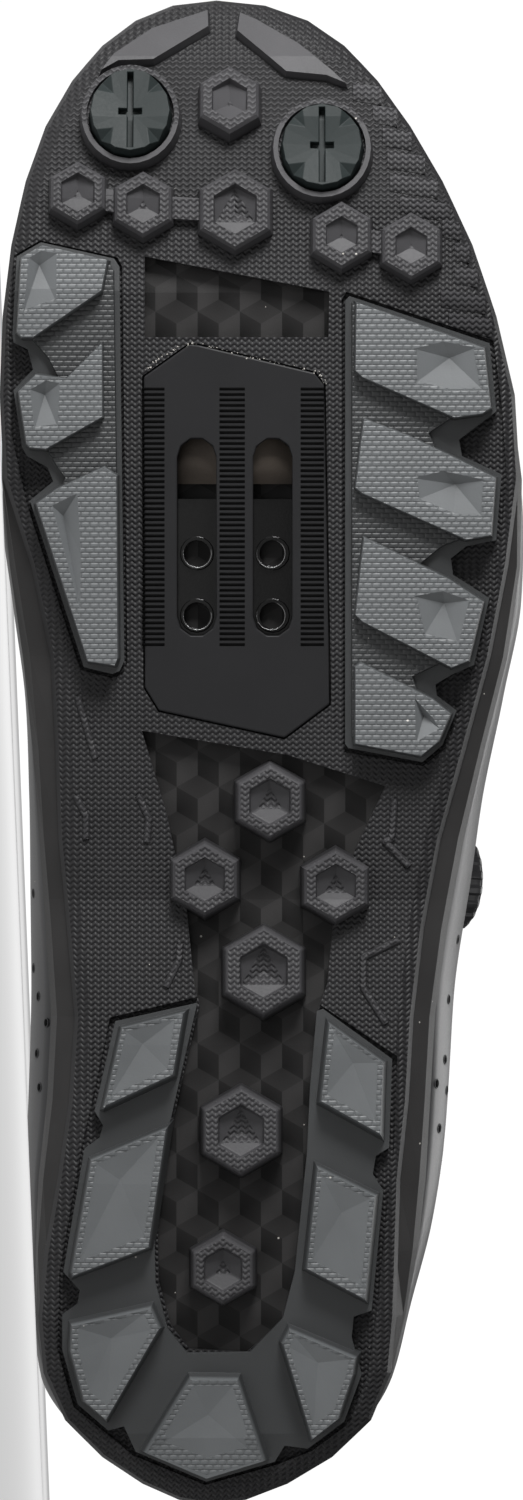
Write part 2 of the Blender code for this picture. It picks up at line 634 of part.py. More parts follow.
def make_rib(name, start, tools):
    """Make one low rib of the lateral toe: steep to the toe, falling to the heel, out to the edge."""
    inner = spot(start)
    outer_x = -half_width("tread_out", start[1]) + RIB_END
    outer = Vector((outer_x, inner.y - (inner.x - outer_x) * math.tan(RIB_TILT), 0.0))
    half = Vector((0.0, RIB_WIDTH / 2, 0.0))
    steep = Vector((0.0, RIB_DRAFT, 0.0))
    root = TREAD * RIB_ROOT
    head = [Vector((p.x, p.y, root)) for p in (inner - half, inner + half, outer + half, outer - half)]
    foot = [head[0].copy(), head[1] - steep, head[2] - steep, head[3].copy()]
    for corner, height in zip(foot, (RIB_TAIL, RIB_HEIGHT, RIB_HEIGHT, RIB_TAIL)):
        corner.z = -height
    bm = bmesh.new()
    loft(bm, [foot, head])
    return make_object(name, bm, tools)


def make_outsole(parts, tools):
    """Make the black tread: a ring with windows, toe lugs, wings and ribs in one piece."""
    ats = sole_ats()
    bm = bmesh.new()
    edge = outline("tread", ats)
    rings = [
        at_height(shifted(edge, -TREAD_ROLL), 0.0),
        at_height(shifted(edge, -TREAD_ROLL / 4), TREAD * 0.36),
        at_height(edge, TREAD),
    ]
    loft(bm, rings)
    sole = make_object("outsole", bm, parts)
    added = []
    for k, shape in enumerate(TOE_HEXES):
        added.append(hex_lug("toe_hex_%d" % k, shape, TREAD * HEX_ROOT, -TOE_HEX_HEIGHT, tools))
    for k, wing in enumerate(TOE_WINGS):
        ring = [spot(p) for p in wing]
        added.append(block("wing_%d" % k, ring, -WING_HEIGHT, TREAD * WING_ROOT, tools, LUG_DRAFT))
    for k, bridge in enumerate(TOE_BRIDGES):
        start, end = spot(bridge.start), spot(bridge.end)
        side = Vector((start.y - end.y, end.x - start.x, 0.0)).normalized() * BRIDGE_WIDTH / 2
        ring = [start + side, start - side, end - side, end + side]
        added.append(block("bridge_%d" % k, ring, -BRIDGE_HEIGHT, TREAD * BRIDGE_ROOT, tools))
    for k, start in enumerate(RIB_STARTS):
        added.append(make_rib("rib_%d" % k, start, tools))
    for side, at in STUDS.items():
        bm = bmesh.new()
        root = TREAD * BOSS_RING_ROOT
        disc(bm, spot(at), BOSS_RING_RADIUS, -BOSS_RING_HEIGHT, root, 32, taper=BOSS_RING_DRAFT)
        added.append(make_object("ring_" + side, bm, tools))
    combine(sole, added, "UNION")
    cut = [
        block("top_window", [spot(p) for p in TOP_WINDOW], -CUT_REACH, CUT_REACH, tools),
        block("plate_window", shifted([spot(p) for p in CLEAT_OUTLINE], GAP), -CUT_REACH, CUT_REACH, tools),
        block("waist_window", [spot(p) for p in WAIST_WINDOW], -CUT_REACH, CUT_REACH, tools),
    ]
    for name, ring in (("medial", MEDIAL_POCKET), ("lateral", LATERAL_POCKET)):
        cut.append(block("pocket_" + name, [spot(p) for p in ring], -CUT_REACH, POCKET_DEPTH, tools))
    for side, at in STUDS.items():
        bm = bmesh.new()
        disc(bm, spot(at), PLUG_RADIUS + GAP, -CUT_REACH, -PLUG_SEAT, 32)
        cut.append(make_object("seat_" + side, bm, tools))
    cut.append(block("pocket_heel", [spot(p) for p in HEEL_POCKET], -CUT_REACH, POCKET_DEPTH, tools))
    combine(sole, cut, "DIFFERENCE")
    added = []
    for k, shape in enumerate(EDGE_HEXES):
        added.append(hex_lug("edge_hex_%d" % k, shape, TREAD * EDGE_HEX_ROOT, -HEX_HEIGHT, tools))
    combine(sole, added, "UNION")
    settle(sole, on_base)
    return sole


def make_forefoot_block(name, base, floor, lugs, pockets, parts, tools):
    """Make a grey block of the forefoot: lugs on one floor, with facets cut in their tips."""
    body = block(name, [spot(p) for p in base], -BLOCK_FLANGE, POCKET_DEPTH - GAP, parts)
    added = [block("floor", [spot(p) for p in floor], -CHANNEL_FLOOR, 0.0, tools, LUG_DRAFT / 2)]
    for k, lug in enumerate(lugs):
        added.append(block("lug_%d" % k, [spot(p) for p in lug], -BLOCK_HEIGHT, LUG_ROOT, tools, LUG_DRAFT))
    combine(body, added, "UNION")
    cut = []
    for k, pocket in enumerate(pockets):
        cut.append(facet_cutter("facets_%d" % k, pocket, -BLOCK_HEIGHT, LUG_POCKET, tools))
    combine(body, cut, "DIFFERENCE")
    settle(body, on_base)
    return body


def make_heel_block(parts, tools):
    """Make the U of grey lugs round the heel, open towards the arch, with dished tips."""
    ring = HEEL_INNER + HEEL_OUTER
    body = block("lug_heel", [spot(p) for p in ring], -BLOCK_FLANGE, POCKET_DEPTH - GAP, parts)
    added = []
    for k, lug in enumerate(HEEL_LUGS):
        bm = bmesh.new()
        prism(bm, [spot(p) for p in lug], -BLOCK_HEIGHT, LUG_ROOT, HEEL_LUG_DRAFT)
        dished(bm, LUG_BORDER, LUG_DISH, LUG_DISH_LEAN)
        added.append(make_object("lug_%d" % k, bm, tools))
    combine(body, added, "UNION")
    settle(body, on_base)
    return body


def make_sole_plate(parts, tools):
    """Make the stiff plate with its smooth side band, between tread and upper."""
    ats = sole_ats()
    foot = shifted(outline("tread", ats), -PLATE_INSET)
    band = outline("band", ats)
    bm = bmesh.new()
    loft(bm, [
        at_height(foot, 0.0),
        at_height([a.lerp(b, 0.75) for a, b in zip(foot, band)], 0.22),
        at_height(band, 0.55),
        at_height(shifted(band, -PLATE_INSET), 0.90),
        at_height(shifted(band, -PLATE_RIM), 1.0),
    ])
    plate = make_object("sole_plate", bm, parts)

    def height(y, z):
        low = profile("base", y) + TREAD + GAP
        return low + z * (profile("feather", y) - GAP - low)

    settle(plate, height)
    pocket = block(
        "nut_pocket",
        rectangle(spot(NUT_CENTRE), NUT_WIDTH + 2 * GAP, SLOT_LENGTH + NUT_POCKET_SPARE),
        -CUT_REACH,
        TREAD + GAP + NUT_POCKET_DEPTH,
        tools,
    )
    settle(pocket, on_base)
    combine(plate, [pocket], "DIFFERENCE")
    return plate


def make_cleat_plate(parts, tools):
    """Make the smooth plate that a two-bolt cleat seats on, with its two slots."""
    corners = [spot(p) for p in CLEAT_OUTLINE]
    plate = block("cleat_plate", corners, -CLEAT_PLATE_PROUD, CLEAT_PLATE - CLEAT_PLATE_PROUD, parts)
    slots = []
    for side in (-0.5, 0.5):
        centre = spot(SLOT_CENTRE) + Vector((side * SLOT_SPACING, 0.0, 0.0))
        slots.append(block("slot", stadium(centre, SLOT_WIDTH, SLOT_LENGTH), -CUT_REACH, CUT_REACH, tools))
    combine(plate, slots, "DIFFERENCE")
    settle(plate, on_base)
    return plate


def make_cleat_nut(parts, tools):
    """Make the threaded plate that slides behind the slots, with four open bosses."""
    top = TREAD + GAP + NUT_POCKET_DEPTH - GAP
    nut = block("cleat_nut", rectangle(spot(NUT_CENTRE), NUT_WIDTH, NUT_LENGTH), top - NUT_THICK, top, parts)
    bosses, holes = [], []
    for across in (-0.5, 0.5):
        for along in (-0.5, 0.5):
            centre = spot(BOLT_CENTRE) + Vector((across * SLOT_SPACING, along * BOLT_PITCH, 0.0))
            bm = bmesh.new()
            disc(bm, centre, BOSS_RADIUS, top - NUT_THICK - BOSS_HEIGHT, top - NUT_THICK / 2, 16)
            bosses.append(make_object("boss", bm, tools))
            bm = bmesh.new()
            disc(bm, centre, THREAD_RADIUS, -CUT_REACH, 2 * CUT_REACH, 16)
            holes.append(make_object("hole", bm, tools))
    combine(nut, bosses, "UNION")
    combine(nut, holes, "DIFFERENCE")
    settle(nut, on_base)
    return nut


def make_scoop(name, centre, angle, tip, tools):
    """Make the wedge that cuts one of the plug's four scoops, deepest at the rim."""
    def place(share, turned, height):
        radius, a = PLUG_RADIUS * share, angle + turned
        return (centre.x + radius * math.cos(a), centre.y + radius * math.sin(a), height)

    bm = bmesh.new()
    for height in (tip, tip - SCOOP_DEPTH):
        bm.verts.new(place(SCOOP_START, 0.0, height))
        bm.verts.new(place(SCOOP_END, SCOOP_TURN, height))
        bm.verts.new(place(SCOOP_END, -SCOOP_TURN, height))
    bm.verts.new(place(SCOOP_END, 0.0, tip + SCOOP_DEPTH))
    bmesh.ops.convex_hull(bm, input=bm.verts[:])
    return make_object(name, bm, tools)


def make_stud(side, parts, tools):
    """Make a toe stud's screw-in plug: sixteen facets, four scoops and a cross slot."""
    centre = spot(STUDS[side])
    bm = bmesh.new()
    tip = -BOSS_RING_HEIGHT - PLUG_HEIGHT
    disc(bm, centre, PLUG_RADIUS, tip, -PLUG_SEAT - GAP, 16, taper=PLUG_TAPER)
    face = min(bm.faces, key=lambda f: f.calc_center_median().z)
    poked = bmesh.ops.poke(bm, faces=[face])
    for vert in poked["verts"]:
        vert.co.z += PLUG_CONE
    stud = make_object("toe_stud_" + side, bm, parts)
    low, high = tip - SCOOP_DEPTH, tip + PLUG_SLOT_DEPTH
    cuts = [
        block("slot_long", rectangle(centre, PLUG_SLOT, PLUG_RADIUS * PLUG_SLOT_REACH), low, high, tools),
        block("slot_short", rectangle(centre, PLUG_RADIUS * PLUG_SLOT_CROSS, PLUG_SLOT), low, high, tools),
    ]
    for k in range(4):
        cuts.append(make_scoop("scoop_%d" % k, centre, math.radians(45 + 90 * k), tip, tools))
    combine(stud, cuts, "DIFFERENCE")
    settle(stud, on_base)
    return stud


def section_value(name, row):
    """Read a column of the sections at any row, whole or between two."""
    rows = list(range(len(SECTIONS)))
    crosses = name in ("edge_in", "edge_out")
    return fitted(rows, [getattr(s, name) for s in SECTIONS], row, level_ends=not crosses)


def feather_point(side, row):
    """Return the place on the feather line where a section starts."""
    at = section_value("at", row)
    at = min(max(at, 0.0), 1.0)
    name = "band_in" if side > 0 else "band_out"
    width = half_width(name, at)
    heel_pull = FEATHER_INSET * math.cos(turn(at))
    reach = width - FEATHER_INSET * math.sin(turn(at))
    y = at * LENGTH + heel_pull
    return Vector((side * reach, y, profile("feather", y)))


def edge_point(side, row):
    """Return the place on the edge of the opening where a section ends."""
    name = "edge_in" if side > 0 else "edge_out"
    across = section_value(name, row) * BALL_WIDTH
    along = section_value("to", row) * LENGTH
    return Vector((side * across, along, section_value("rim", row) * INSTEP_HEIGHT))


def skin_point(side, row, up):
    """Return a place on the upper's outer face; up runs from 0 at the sole to 1 at the edge."""
    start, end = feather_point(side, row), edge_point(side, row)
    depth, tall = (end - start).xy.length, end.z - start.z
    belly = section_value("belly_in" if side > 0 else "belly_out", row) * BALL_WIDTH
    rise, lean, crown = (section_value(n, row) for n in ("rise", "lean", "crown"))
    handles = ((0.0, 0.0), (-belly, rise * tall), (lean * depth, crown * tall), (depth, tall))
    weights = ((1 - up) ** 3, 3 * up * (1 - up) ** 2, 3 * up * up * (1 - up), up ** 3)
    along = sum(w * h[0] for w, h in zip(weights, handles))
    above = sum(w * h[1] for w, h in zip(weights, handles))
    return start + inward(side, row) * along + Vector((0.0, 0.0, above))


def skin_normal(side, row, up):
    """Return the outward direction of the upper's face at a place."""
    small = 0.02
    last = len(SECTIONS) - 1
    a, b = max(row - small, 0.0), min(row + small, last)
    c, d = max(up - small, 0.0), min(up + small, 1.0)
    along = skin_point(side, b, up) - skin_point(side, a, up)
    rising = skin_point(side, row, d) - skin_point(side, row, c)
    normal = along.cross(rising).normalized()
    return normal if side > 0 else -normal


def ring_rows(step):
    """Return (side, row) pairs going once round the shoe from heel centre to heel centre."""
    last = len(SECTIONS) - 1
    count = int(round(last / step))
    rows = [last * k / count for k in range(count + 1)]
    return [(1, r) for r in rows] + [(-1, r) for r in rows[-2:0:-1]]


def grid_object(name, rows, collection):
    """Skin open rows of points into a sheet; each row may be a closed ring."""
    bm = bmesh.new()
    skin = [[bm.verts.new(p) for p in row] for row in rows]
    for low, high in zip(skin, skin[1:]):
        for k in range(len(low)):
            n = (k + 1) % len(low)
            bm.faces.new((low[k], low[n], high[n], high[k]))
    return make_object(name, bm, collection)


def thicken(obj, amount):
    """Give a sheet its wall, inwards from its outer face."""
    wall = obj.modifiers.new("wall", "SOLIDIFY")
    wall.thickness = amount
    wall.offset = -1.0
    wall.use_even_offset = True
    apply_modifiers(obj)


def make_upper(parts):
    """Make the hollow upper, open at collar, throat and underneath, with its lasting margin."""
    stations = ring_rows(0.5)
    ups = [k / 9 for k in range(10)]
    margin = []
    for side, row in stations:
        place = feather_point(side, row) + inward(side, row) * LASTING_MARGIN
        margin.append(Vector((place.x, place.y, profile("feather", place.y))))
    rows = [margin] + [[skin_point(side, row, up) for side, row in stations] for up in ups]
    upper = grid_object("upper", rows, parts)
    thicken(upper, WALL)
    return upper


def inward(side, row):
    """Return the level direction from a section's start to its end."""
    start, end = feather_point(side, row), edge_point(side, row)
    return Vector((end.x - start.x, end.y - start.y, 0.0)).normalized()


def floor_height(y):
    """Return how high the lasting margin's upper face lies, square to its slope."""
    small = 0.0001
    middle = profile("feather", y)
    steep = max(abs(profile("feather", y + d) - middle) / small for d in (-small, small))
    return middle + WALL * math.hypot(1.0, steep)


def make_insole(parts):
    """Make the loose footbed on the floor inside."""
    inset = WALL + INSOLE_INSET
    ring = [feather_point(*s) + inward(*s) * inset for s in ring_rows(0.5)]
    bm = bmesh.new()
    loft(bm, [at_height(ring, 0.0), at_height(ring, INSOLE)])
    insole = make_object("insole", bm, parts)
    settle(insole, lambda y, z: floor_height(y) + INSOLE_SEAT + z)
    return insole


def tongue_point(row, across):
    """Return a place on the tongue's top, from -1 at its lateral side to 1 at its medial side."""
    sunk = {s: edge_point(s, row) - skin_normal(s, row, 1.0) * (WALL + TONGUE_GAP) for s in (1, -1)}
    middle = (sunk[1] + sunk[-1]) / 2
    half = (sunk[1] - sunk[-1]) / 2
    up = (skin_normal(1, row, 1.0) + skin_normal(-1, row, 1.0)).normalized()
    return middle + half * across + up * (1.0 - across * across) * half.length * TONGUE_CROWN


def tucked_point(side, row):
    """Return the tongue's own edge, under the upper beside the throat."""
    up = 1.0 - TONGUE_TUCK / section_length(side, row)
    return skin_point(side, row, up) - skin_normal(side, row, up) * (WALL + TONGUE_GAP)


def section_length(side, row):
    """Return the length of a section of the upper, from sole to edge."""
    steps = [skin_point(side, row, k / 8) for k in range(9)]
    return sum((b - a).length for a, b in zip(steps, steps[1:]))


def make_tongue(parts):
    """Make the padded tongue: under the vamp at one end and above the collar at the other."""
    rows = []
    for step in range(7):
        row = THROAT_TOP + (THROAT_END - THROAT_TOP) * step / 6
        across = [tongue_point(row, a) for a in TONGUE_ACROSS]
        rows.append([tucked_point(1, row)] + across + [tucked_point(-1, row)])
    rows.append([p + Vector((0.0, TONGUE_UNDER, -TONGUE_UNDER * TONGUE_DROP)) for p in rows[-1]])
    top = rows[0]
    for rise, pull in TONGUE_FREE_END:
        lift = Vector((0.0, -TONGUE_LEAN * rise, TONGUE_RISE * rise))
        middle = (top[0] + top[-1]) / 2
        rows.insert(0, [p.lerp(Vector((middle.x, p.y, p.z)), pull) + lift for p in top])
    bm = bmesh.new()
    skin = [[bm.verts.new(p) for p in row] for row in rows]
    for low, high in zip(skin, skin[1:]):
        for k in range(len(low) - 1):
            bm.faces.new((low[k], low[k + 1], high[k + 1], high[k]))
    tongue = make_object("tongue", bm, parts)
    centre = tongue.data.polygons[len(tongue.data.polygons) // 2]
    if centre.normal.z < 0:
        tongue.data.flip_normals()
    thicken(tongue, TONGUE)
    return tongue


def seat(side, row, up):
    """Return place, outward direction and the metres of one row and of one section there."""
    small = 0.05
    place = skin_point(side, row, up)
    one_row = (skin_point(side, row + small, up) - skin_point(side, row - small, up)) / (2 * small)
    one_up = (skin_point(side, row, up + small) - skin_point(side, row, up - small)) / (2 * small)
    return place, skin_normal(side, row, up), one_row, one_up


def seated_ring(side, row, up, corners):
    """Lay a ring of (along, rising) offsets on the upper, one GAP clear of it."""
    place, normal, one_row, one_up = seat(side, row, up)
    ring = []
    for along, rising in corners:
        r, u = row + along / one_row.length, up + rising / one_up.length
        ring.append(skin_point(side, r, u) + skin_normal(side, r, u) * GAP)
    return ring


def make_guide(name, side, row, parts):
    """Make a lace guide: a low block that follows the upper beside the throat."""
    half, wide = GUIDE_LENGTH / 2, GUIDE_WIDTH / 2
    corners = [(-half, -wide), (0.0, -wide), (half, -wide), (half, wide), (0.0, wide), (-half, wide)]
    foot = seated_ring(side, row, GUIDE_UP, corners)
    normal = skin_normal(side, row, GUIDE_UP)
    middle = sum(foot, Vector()) / len(foot)
    head = [p.lerp(middle, GUIDE_DRAW_IN) + normal * GUIDE_THICK for p in foot]
    bm = bmesh.new()
    loft(bm, [foot, head])
    return make_object(name, bm, parts)


def make_dial(parts):
    """Make the lace dial on the lateral side: a base that follows the upper and a ribbed knob."""
    place, normal, one_row, one_up = seat(-1, DIAL_ROW, DIAL_UP)
    angles = [math.tau * k / DIAL_GRIPS for k in range(DIAL_GRIPS)]
    feet = []
    for share in DIAL_RINGS:
        radius = share * DIAL_RADIUS
        corners = [(radius * math.cos(a), radius * math.sin(a)) for a in angles]
        feet.append(seated_ring(-1, DIAL_ROW, DIAL_UP, corners))
    along = (one_row - normal * one_row.dot(normal)).normalized()
    rising = normal.cross(along)
    if rising.dot(one_up) < 0:
        rising = -rising

    def ring(radius, height, count, grip=0.0):
        made = []
        for k in range(count):
            a = math.tau * k / count
            r = radius - (grip if k % 4 in (2, 3) else 0.0)
            made.append(place + normal * height + (along * math.cos(a) + rising * math.sin(a)) * r)
        return made

    bm = bmesh.new()
    loft(bm, feet + [ring(DIAL_RADIUS, DIAL_BASE, DIAL_GRIPS)])
    base = make_object("dial_base", bm, parts)
    bm = bmesh.new()
    count = DIAL_GRIPS * 4
    low, high = DIAL_BASE + GAP, DIAL_BASE + GAP + DIAL_KNOB
    loft(bm, [
        ring(DIAL_RADIUS, low, count, DIAL_GRIP_DEPTH),
        ring(DIAL_RADIUS, high - DIAL_ROUND, count, DIAL_GRIP_DEPTH),
        ring(DIAL_RADIUS - DIAL_ROUND, high, count),
        ring(DIAL_RADIUS * 0.55, high, count),
        ring(DIAL_RADIUS * 0.50, high - DIAL_ROUND / 2, count),
    ])
    knob = make_object("dial_knob", bm, parts)
    return base, knob


def make_lace_bar(name, start, end, parts):
    """Make one run of the lace over the tongue, between a guide on each side."""
    clear = LACE_RADIUS + 2 * GAP
    sides = {}
    for side, row in ((1, start), (-1, end)):
        place, normal, one_row, one_up = seat(side, row, GUIDE_UP)
        up = GUIDE_UP + (GUIDE_WIDTH / 2 + 2 * GAP + LACE_RADIUS) / one_up.length
        lift = normal * (clear + GAP)
        sides[side] = skin_point(side, row, up) + lift
    middle = (start + end) / 2
    over = (skin_normal(1, middle, 1.0) + skin_normal(-1, middle, 1.0)).normalized()
    keys = [sides[1]]
    for across in (LACE_SHOULDER, 0.0, -LACE_SHOULDER):
        keys.append(tongue_point(middle, across) + over * clear * LACE_LIFT)
    keys.append(sides[-1])
    return tube(name, rounded(keys, 2), LACE_RADIUS, parts)


def rounded(keys, parts_per_run):
    """Return points on a smooth curve through all keys."""
    ends = [2 * keys[0] - keys[1]] + keys + [2 * keys[-1] - keys[-2]]
    points = []
    for a, b, c, d in zip(ends, ends[1:], ends[2:], ends[3:]):
        for k in range(parts_per_run):
            u = k / parts_per_run
            points.append(
                0.5 * (2 * b + (c - a) * u + (2 * a - 5 * b + 4 * c - d) * u * u + (3 * b - a - 3 * c + d) * u ** 3)
            )
    return points + [keys[-1]]


def tube(name, points, radius, collection):
    """Make a round cord along points."""
    bm = bmesh.new()
    rings = []
    for k, point in enumerate(points):
        ahead = (points[min(k + 1, len(points) - 1)] - points[max(k - 1, 0)]).normalized()
        side = ahead.cross(Vector((0.0, 0.0, 1.0))).normalized()
        up = side.cross(ahead)
        angles = [math.tau * n / 8 for n in range(8)]
        rings.append([point + (side * math.cos(a) + up * math.sin(a)) * radius for a in angles])
    loft(bm, rings)
    return make_object(name, bm, collection)


def material(name, colour, roughness, metallic):
    """Return a plain finish."""
    made = bpy.data.materials.new(name)
    made.use_nodes = True
    shader = made.node_tree.nodes["Principled BSDF"]
    shader.inputs["Base Color"].default_value = (*colour, 1.0)
    shader.inputs["Roughness"].default_value = roughness
    shader.inputs["Metallic"].default_value = metallic
    return made


# Finish of each kind of piece: colour, roughness, metallic value and density in kg per m3
Finish = namedtuple("Finish", "colour roughness metallic density")
FINISHES = {
    "black_rubber": Finish((0.035, 0.035, 0.037), 0.62, 0.0, 1150.0),
    "grey_rubber": Finish((0.105, 0.112, 0.115), 0.70, 0.0, 1150.0),
    "nylon_plate": Finish((0.022, 0.022, 0.023), 0.50, 0.0, 1100.0),
    "steel": Finish((0.020, 0.020, 0.022), 0.25, 1.0, 7800.0),
    "green_grey_nylon": Finish((0.030, 0.037, 0.037), 0.50, 0.0, 1100.0),
    "coated_fabric": Finish((0.030, 0.030, 0.031), 0.75, 0.0, 300.0),
    "foam": Finish((0.060, 0.060, 0.062), 0.90, 0.0, 300.0),
    "lace_fibre": Finish((0.040, 0.040, 0.042), 0.80, 0.0, 300.0),
}
FINISH_OF = (
    ("outsole", "black_rubber"), ("hex_lug", "black_rubber"), ("lug_", "grey_rubber"),
    ("sole_plate", "nylon_plate"), ("cleat_plate", "nylon_plate"), ("cleat_nut", "steel"),
    ("toe_stud", "green_grey_nylon"), ("upper", "coated_fabric"), ("tongue", "foam"),
    ("insole", "foam"), ("dial", "nylon_plate"), ("lace_guide", "nylon_plate"),
        ("lace_bar", "lace_fibre"),
)


def finish_name(obj):
    """Return the name of the finish that a piece has."""
    return next(kind for start, kind in FINISH_OF if obj.name.startswith(start))


def finish(parts):
    """Give every piece its material and smooth shading with crisp edges."""
    made = {name: material(name, *values[:3]) for name, values in FINISHES.items()}
    for obj in parts.objects:
        obj.data.materials.clear()
        obj.data.materials.append(made[finish_name(obj)])
        obj.data.shade_smooth()
        obj.data.set_sharp_from_angle(angle=SMOOTH_ANGLE)


def centre_of_mass(objects):
    """Return the point on which the pieces would balance, each with its own density."""
    total, moment = 0.0, Vector()
    for obj in objects:
        mesh = obj.data
        density = FINISHES[finish_name(obj)].density
        mesh.calc_loop_triangles()
        for triangle in mesh.loop_triangles:
            a, b, c = (mesh.vertices[k].co for k in triangle.vertices)
            mass = density * a.dot(b.cross(c)) / 6.0
            total += mass
            moment += mass * (a + b + c) / 4.0
    return moment / total


def steadiness(corners, normal, weight):
    """Return how far inside a face the weight falls on it; below zero it falls outside."""
    drop = weight + normal * normal.dot(corners[0] - weight)
    turns = []
    for a, b in zip(corners, corners[1:] + corners[:1]):
        turns.append(normal.dot((b - a).normalized().cross(drop - a)))
    return max(min(turns), -max(turns))


def resting_normal(objects):
    """Return the outward direction of the hull's face on which the shoe lies, medial side down."""
    bm = bmesh.new()
    for obj in objects:
        for vert in obj.data.vertices:
            bm.verts.new(vert.co)
    hull = bmesh.ops.convex_hull(bm, input=bm.verts, use_existing_faces=False)
    faces = [e for e in hull["geom"] if isinstance(e, bmesh.types.BMFace)]
    weight = centre_of_mass(objects)
    rests = []
    for face in faces:
        normal = face.normal.copy()
        corners = [vert.co for vert in face.verts]
        if normal.dot(corners[0] - weight) < 0:
            normal = -normal
        if normal.x > REST_SIDE:
            rests.append((steadiness(corners, normal, weight), normal))
    bm.free()
    return max(rests, key=lambda rest: rest[0])[1]


def lay_down(parts):
    """Carry all pieces on one empty to the pose in which the shoe lies on the floor."""
    down = resting_normal(parts.objects)
    toe = Vector((0.0, 1.0, 0.0))
    ahead = -(toe - down * toe.dot(down)).normalized()
    side = (-down).cross(ahead)
    turned = Matrix((ahead, side, -down))
    corners = [turned @ vert.co for obj in parts.objects for vert in obj.data.vertices]
    low = Vector([min(c[k] for c in corners) for k in range(3)])
    high = Vector([max(c[k] for c in corners) for k in range(3)])
    shift = Vector((-(low.x + high.x) / 2, -(low.y + high.y) / 2, -low.z))
    pose = bpy.data.objects.new("resting_pose", None)
    parts.objects.link(pose)
    pose.matrix_world = Matrix.Translation(shift) @ turned.to_4x4()
    for obj in parts.objects:
        if obj is not pose:
            obj.parent = pose
    bpy.context.view_layer.update()


def main():
    """Build the shoe and lay it down."""
    for obj in list(bpy.data.objects):
        bpy.data.objects.remove(obj)
    parts = bpy.data.collections.new("cycling_shoe")
    tools = bpy.data.collections.new("tools")
    for collection in (parts, tools):
        bpy.context.scene.collection.children.link(collection)
    make_outsole(parts, tools)
    make_sole_plate(parts, tools)
    make_cleat_plate(parts, tools)
    make_cleat_nut(parts, tools)
    medial = (MEDIAL_BASE, MEDIAL_FLOOR, MEDIAL_LUGS, MEDIAL_FACETS)
    lateral = (LATERAL_BASE, LATERAL_FLOOR, LATERAL_LUGS, LATERAL_FACETS)
    make_forefoot_block("lug_medial", *medial, parts, tools)
    make_forefoot_block("lug_lateral", *lateral, parts, tools)
    make_heel_block(parts, tools)
    for k, shape in enumerate(WAIST_HEXES, 1):
        lug = hex_lug("hex_lug_%d" % k, shape, TREAD, -HEX_HEIGHT, parts)
        settle(lug, on_base)
    for side in STUDS:
        make_stud(side, parts, tools)
    make_upper(parts)
    make_insole(parts)
    make_tongue(parts)
    make_dial(parts)
    for k, row in enumerate(GUIDE_ROWS):
        make_guide("lace_guide_%d" % (2 * k + 1), 1, row, parts)
        make_guide("lace_guide_%d" % (2 * k + 2), -1, row, parts)
    for k, (start, end) in enumerate(LACE_RUNS, 1):
        make_lace_bar("lace_bar_%d" % k, start, end, parts)
    finish(parts)
    lay_down(parts)


main()
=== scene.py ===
"""Looks of a left off-road cycling shoe that lies on its medial side.

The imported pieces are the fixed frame. Hard and rubber pieces keep their meshes and get their
finishes here; the upper, tongue, insole, laces and small trim are modelled again, finer, on
the same last. Everything is worked out in the shoe's own frame, +X to the medial side, +Y from
heel to toe and +Z from the tread to the collar, and then carried to where the shoe lies.
"""

from __future__ import annotations

import json
import logging
import math
from dataclasses import dataclass, field
from enum import Enum
from typing import Callable, Iterable, NamedTuple, Sequence

import bmesh
import bpy
import numpy as np
from mathutils import Matrix, Vector


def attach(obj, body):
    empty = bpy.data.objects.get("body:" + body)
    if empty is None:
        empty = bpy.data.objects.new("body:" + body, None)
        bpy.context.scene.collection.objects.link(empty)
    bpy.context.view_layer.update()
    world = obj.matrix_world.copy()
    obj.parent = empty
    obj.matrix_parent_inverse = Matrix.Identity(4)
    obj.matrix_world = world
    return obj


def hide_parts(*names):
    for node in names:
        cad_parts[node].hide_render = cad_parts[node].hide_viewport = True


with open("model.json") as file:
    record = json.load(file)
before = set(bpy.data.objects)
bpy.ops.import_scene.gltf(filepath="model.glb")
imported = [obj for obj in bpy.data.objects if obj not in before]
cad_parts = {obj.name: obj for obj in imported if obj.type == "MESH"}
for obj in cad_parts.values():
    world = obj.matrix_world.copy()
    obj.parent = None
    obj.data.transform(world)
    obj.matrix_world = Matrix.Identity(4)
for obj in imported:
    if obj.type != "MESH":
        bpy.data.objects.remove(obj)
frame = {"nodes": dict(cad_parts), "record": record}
LOG = logging.getLogger("cycling_shoe")

Array = np.ndarray
Colour = tuple[float, float, float]
Pair = tuple[float, float]
MM = 0.001
BODY = "root"
PHOTO_TALL = 1500.0
EYE = (-0.0040, 0.1396, -1.25)
LENS = 163.8
SENSOR = 36.0
LEVEL_REACH = 0.14
SPECK_SHARE = 0.62


class Plan(NamedTuple):
    """Half widths of the side band at a share of the length, as shares of the ball width."""

    at: float
    band_in: float
    band_out: float


class Profile(NamedTuple):
    """Heights of the tread's underside and of the feather line, as shares of the sole height."""

    at: float
    base: float
    feather: float


class Section(NamedTuple):
    """One section of the last, from feather line to the edge of the opening."""

    at: float
    to: float
    edge_in: float
    edge_out: float
    rim: float
    belly_in: float
    belly_out: float
    rise: float
    lean: float
    crown: float


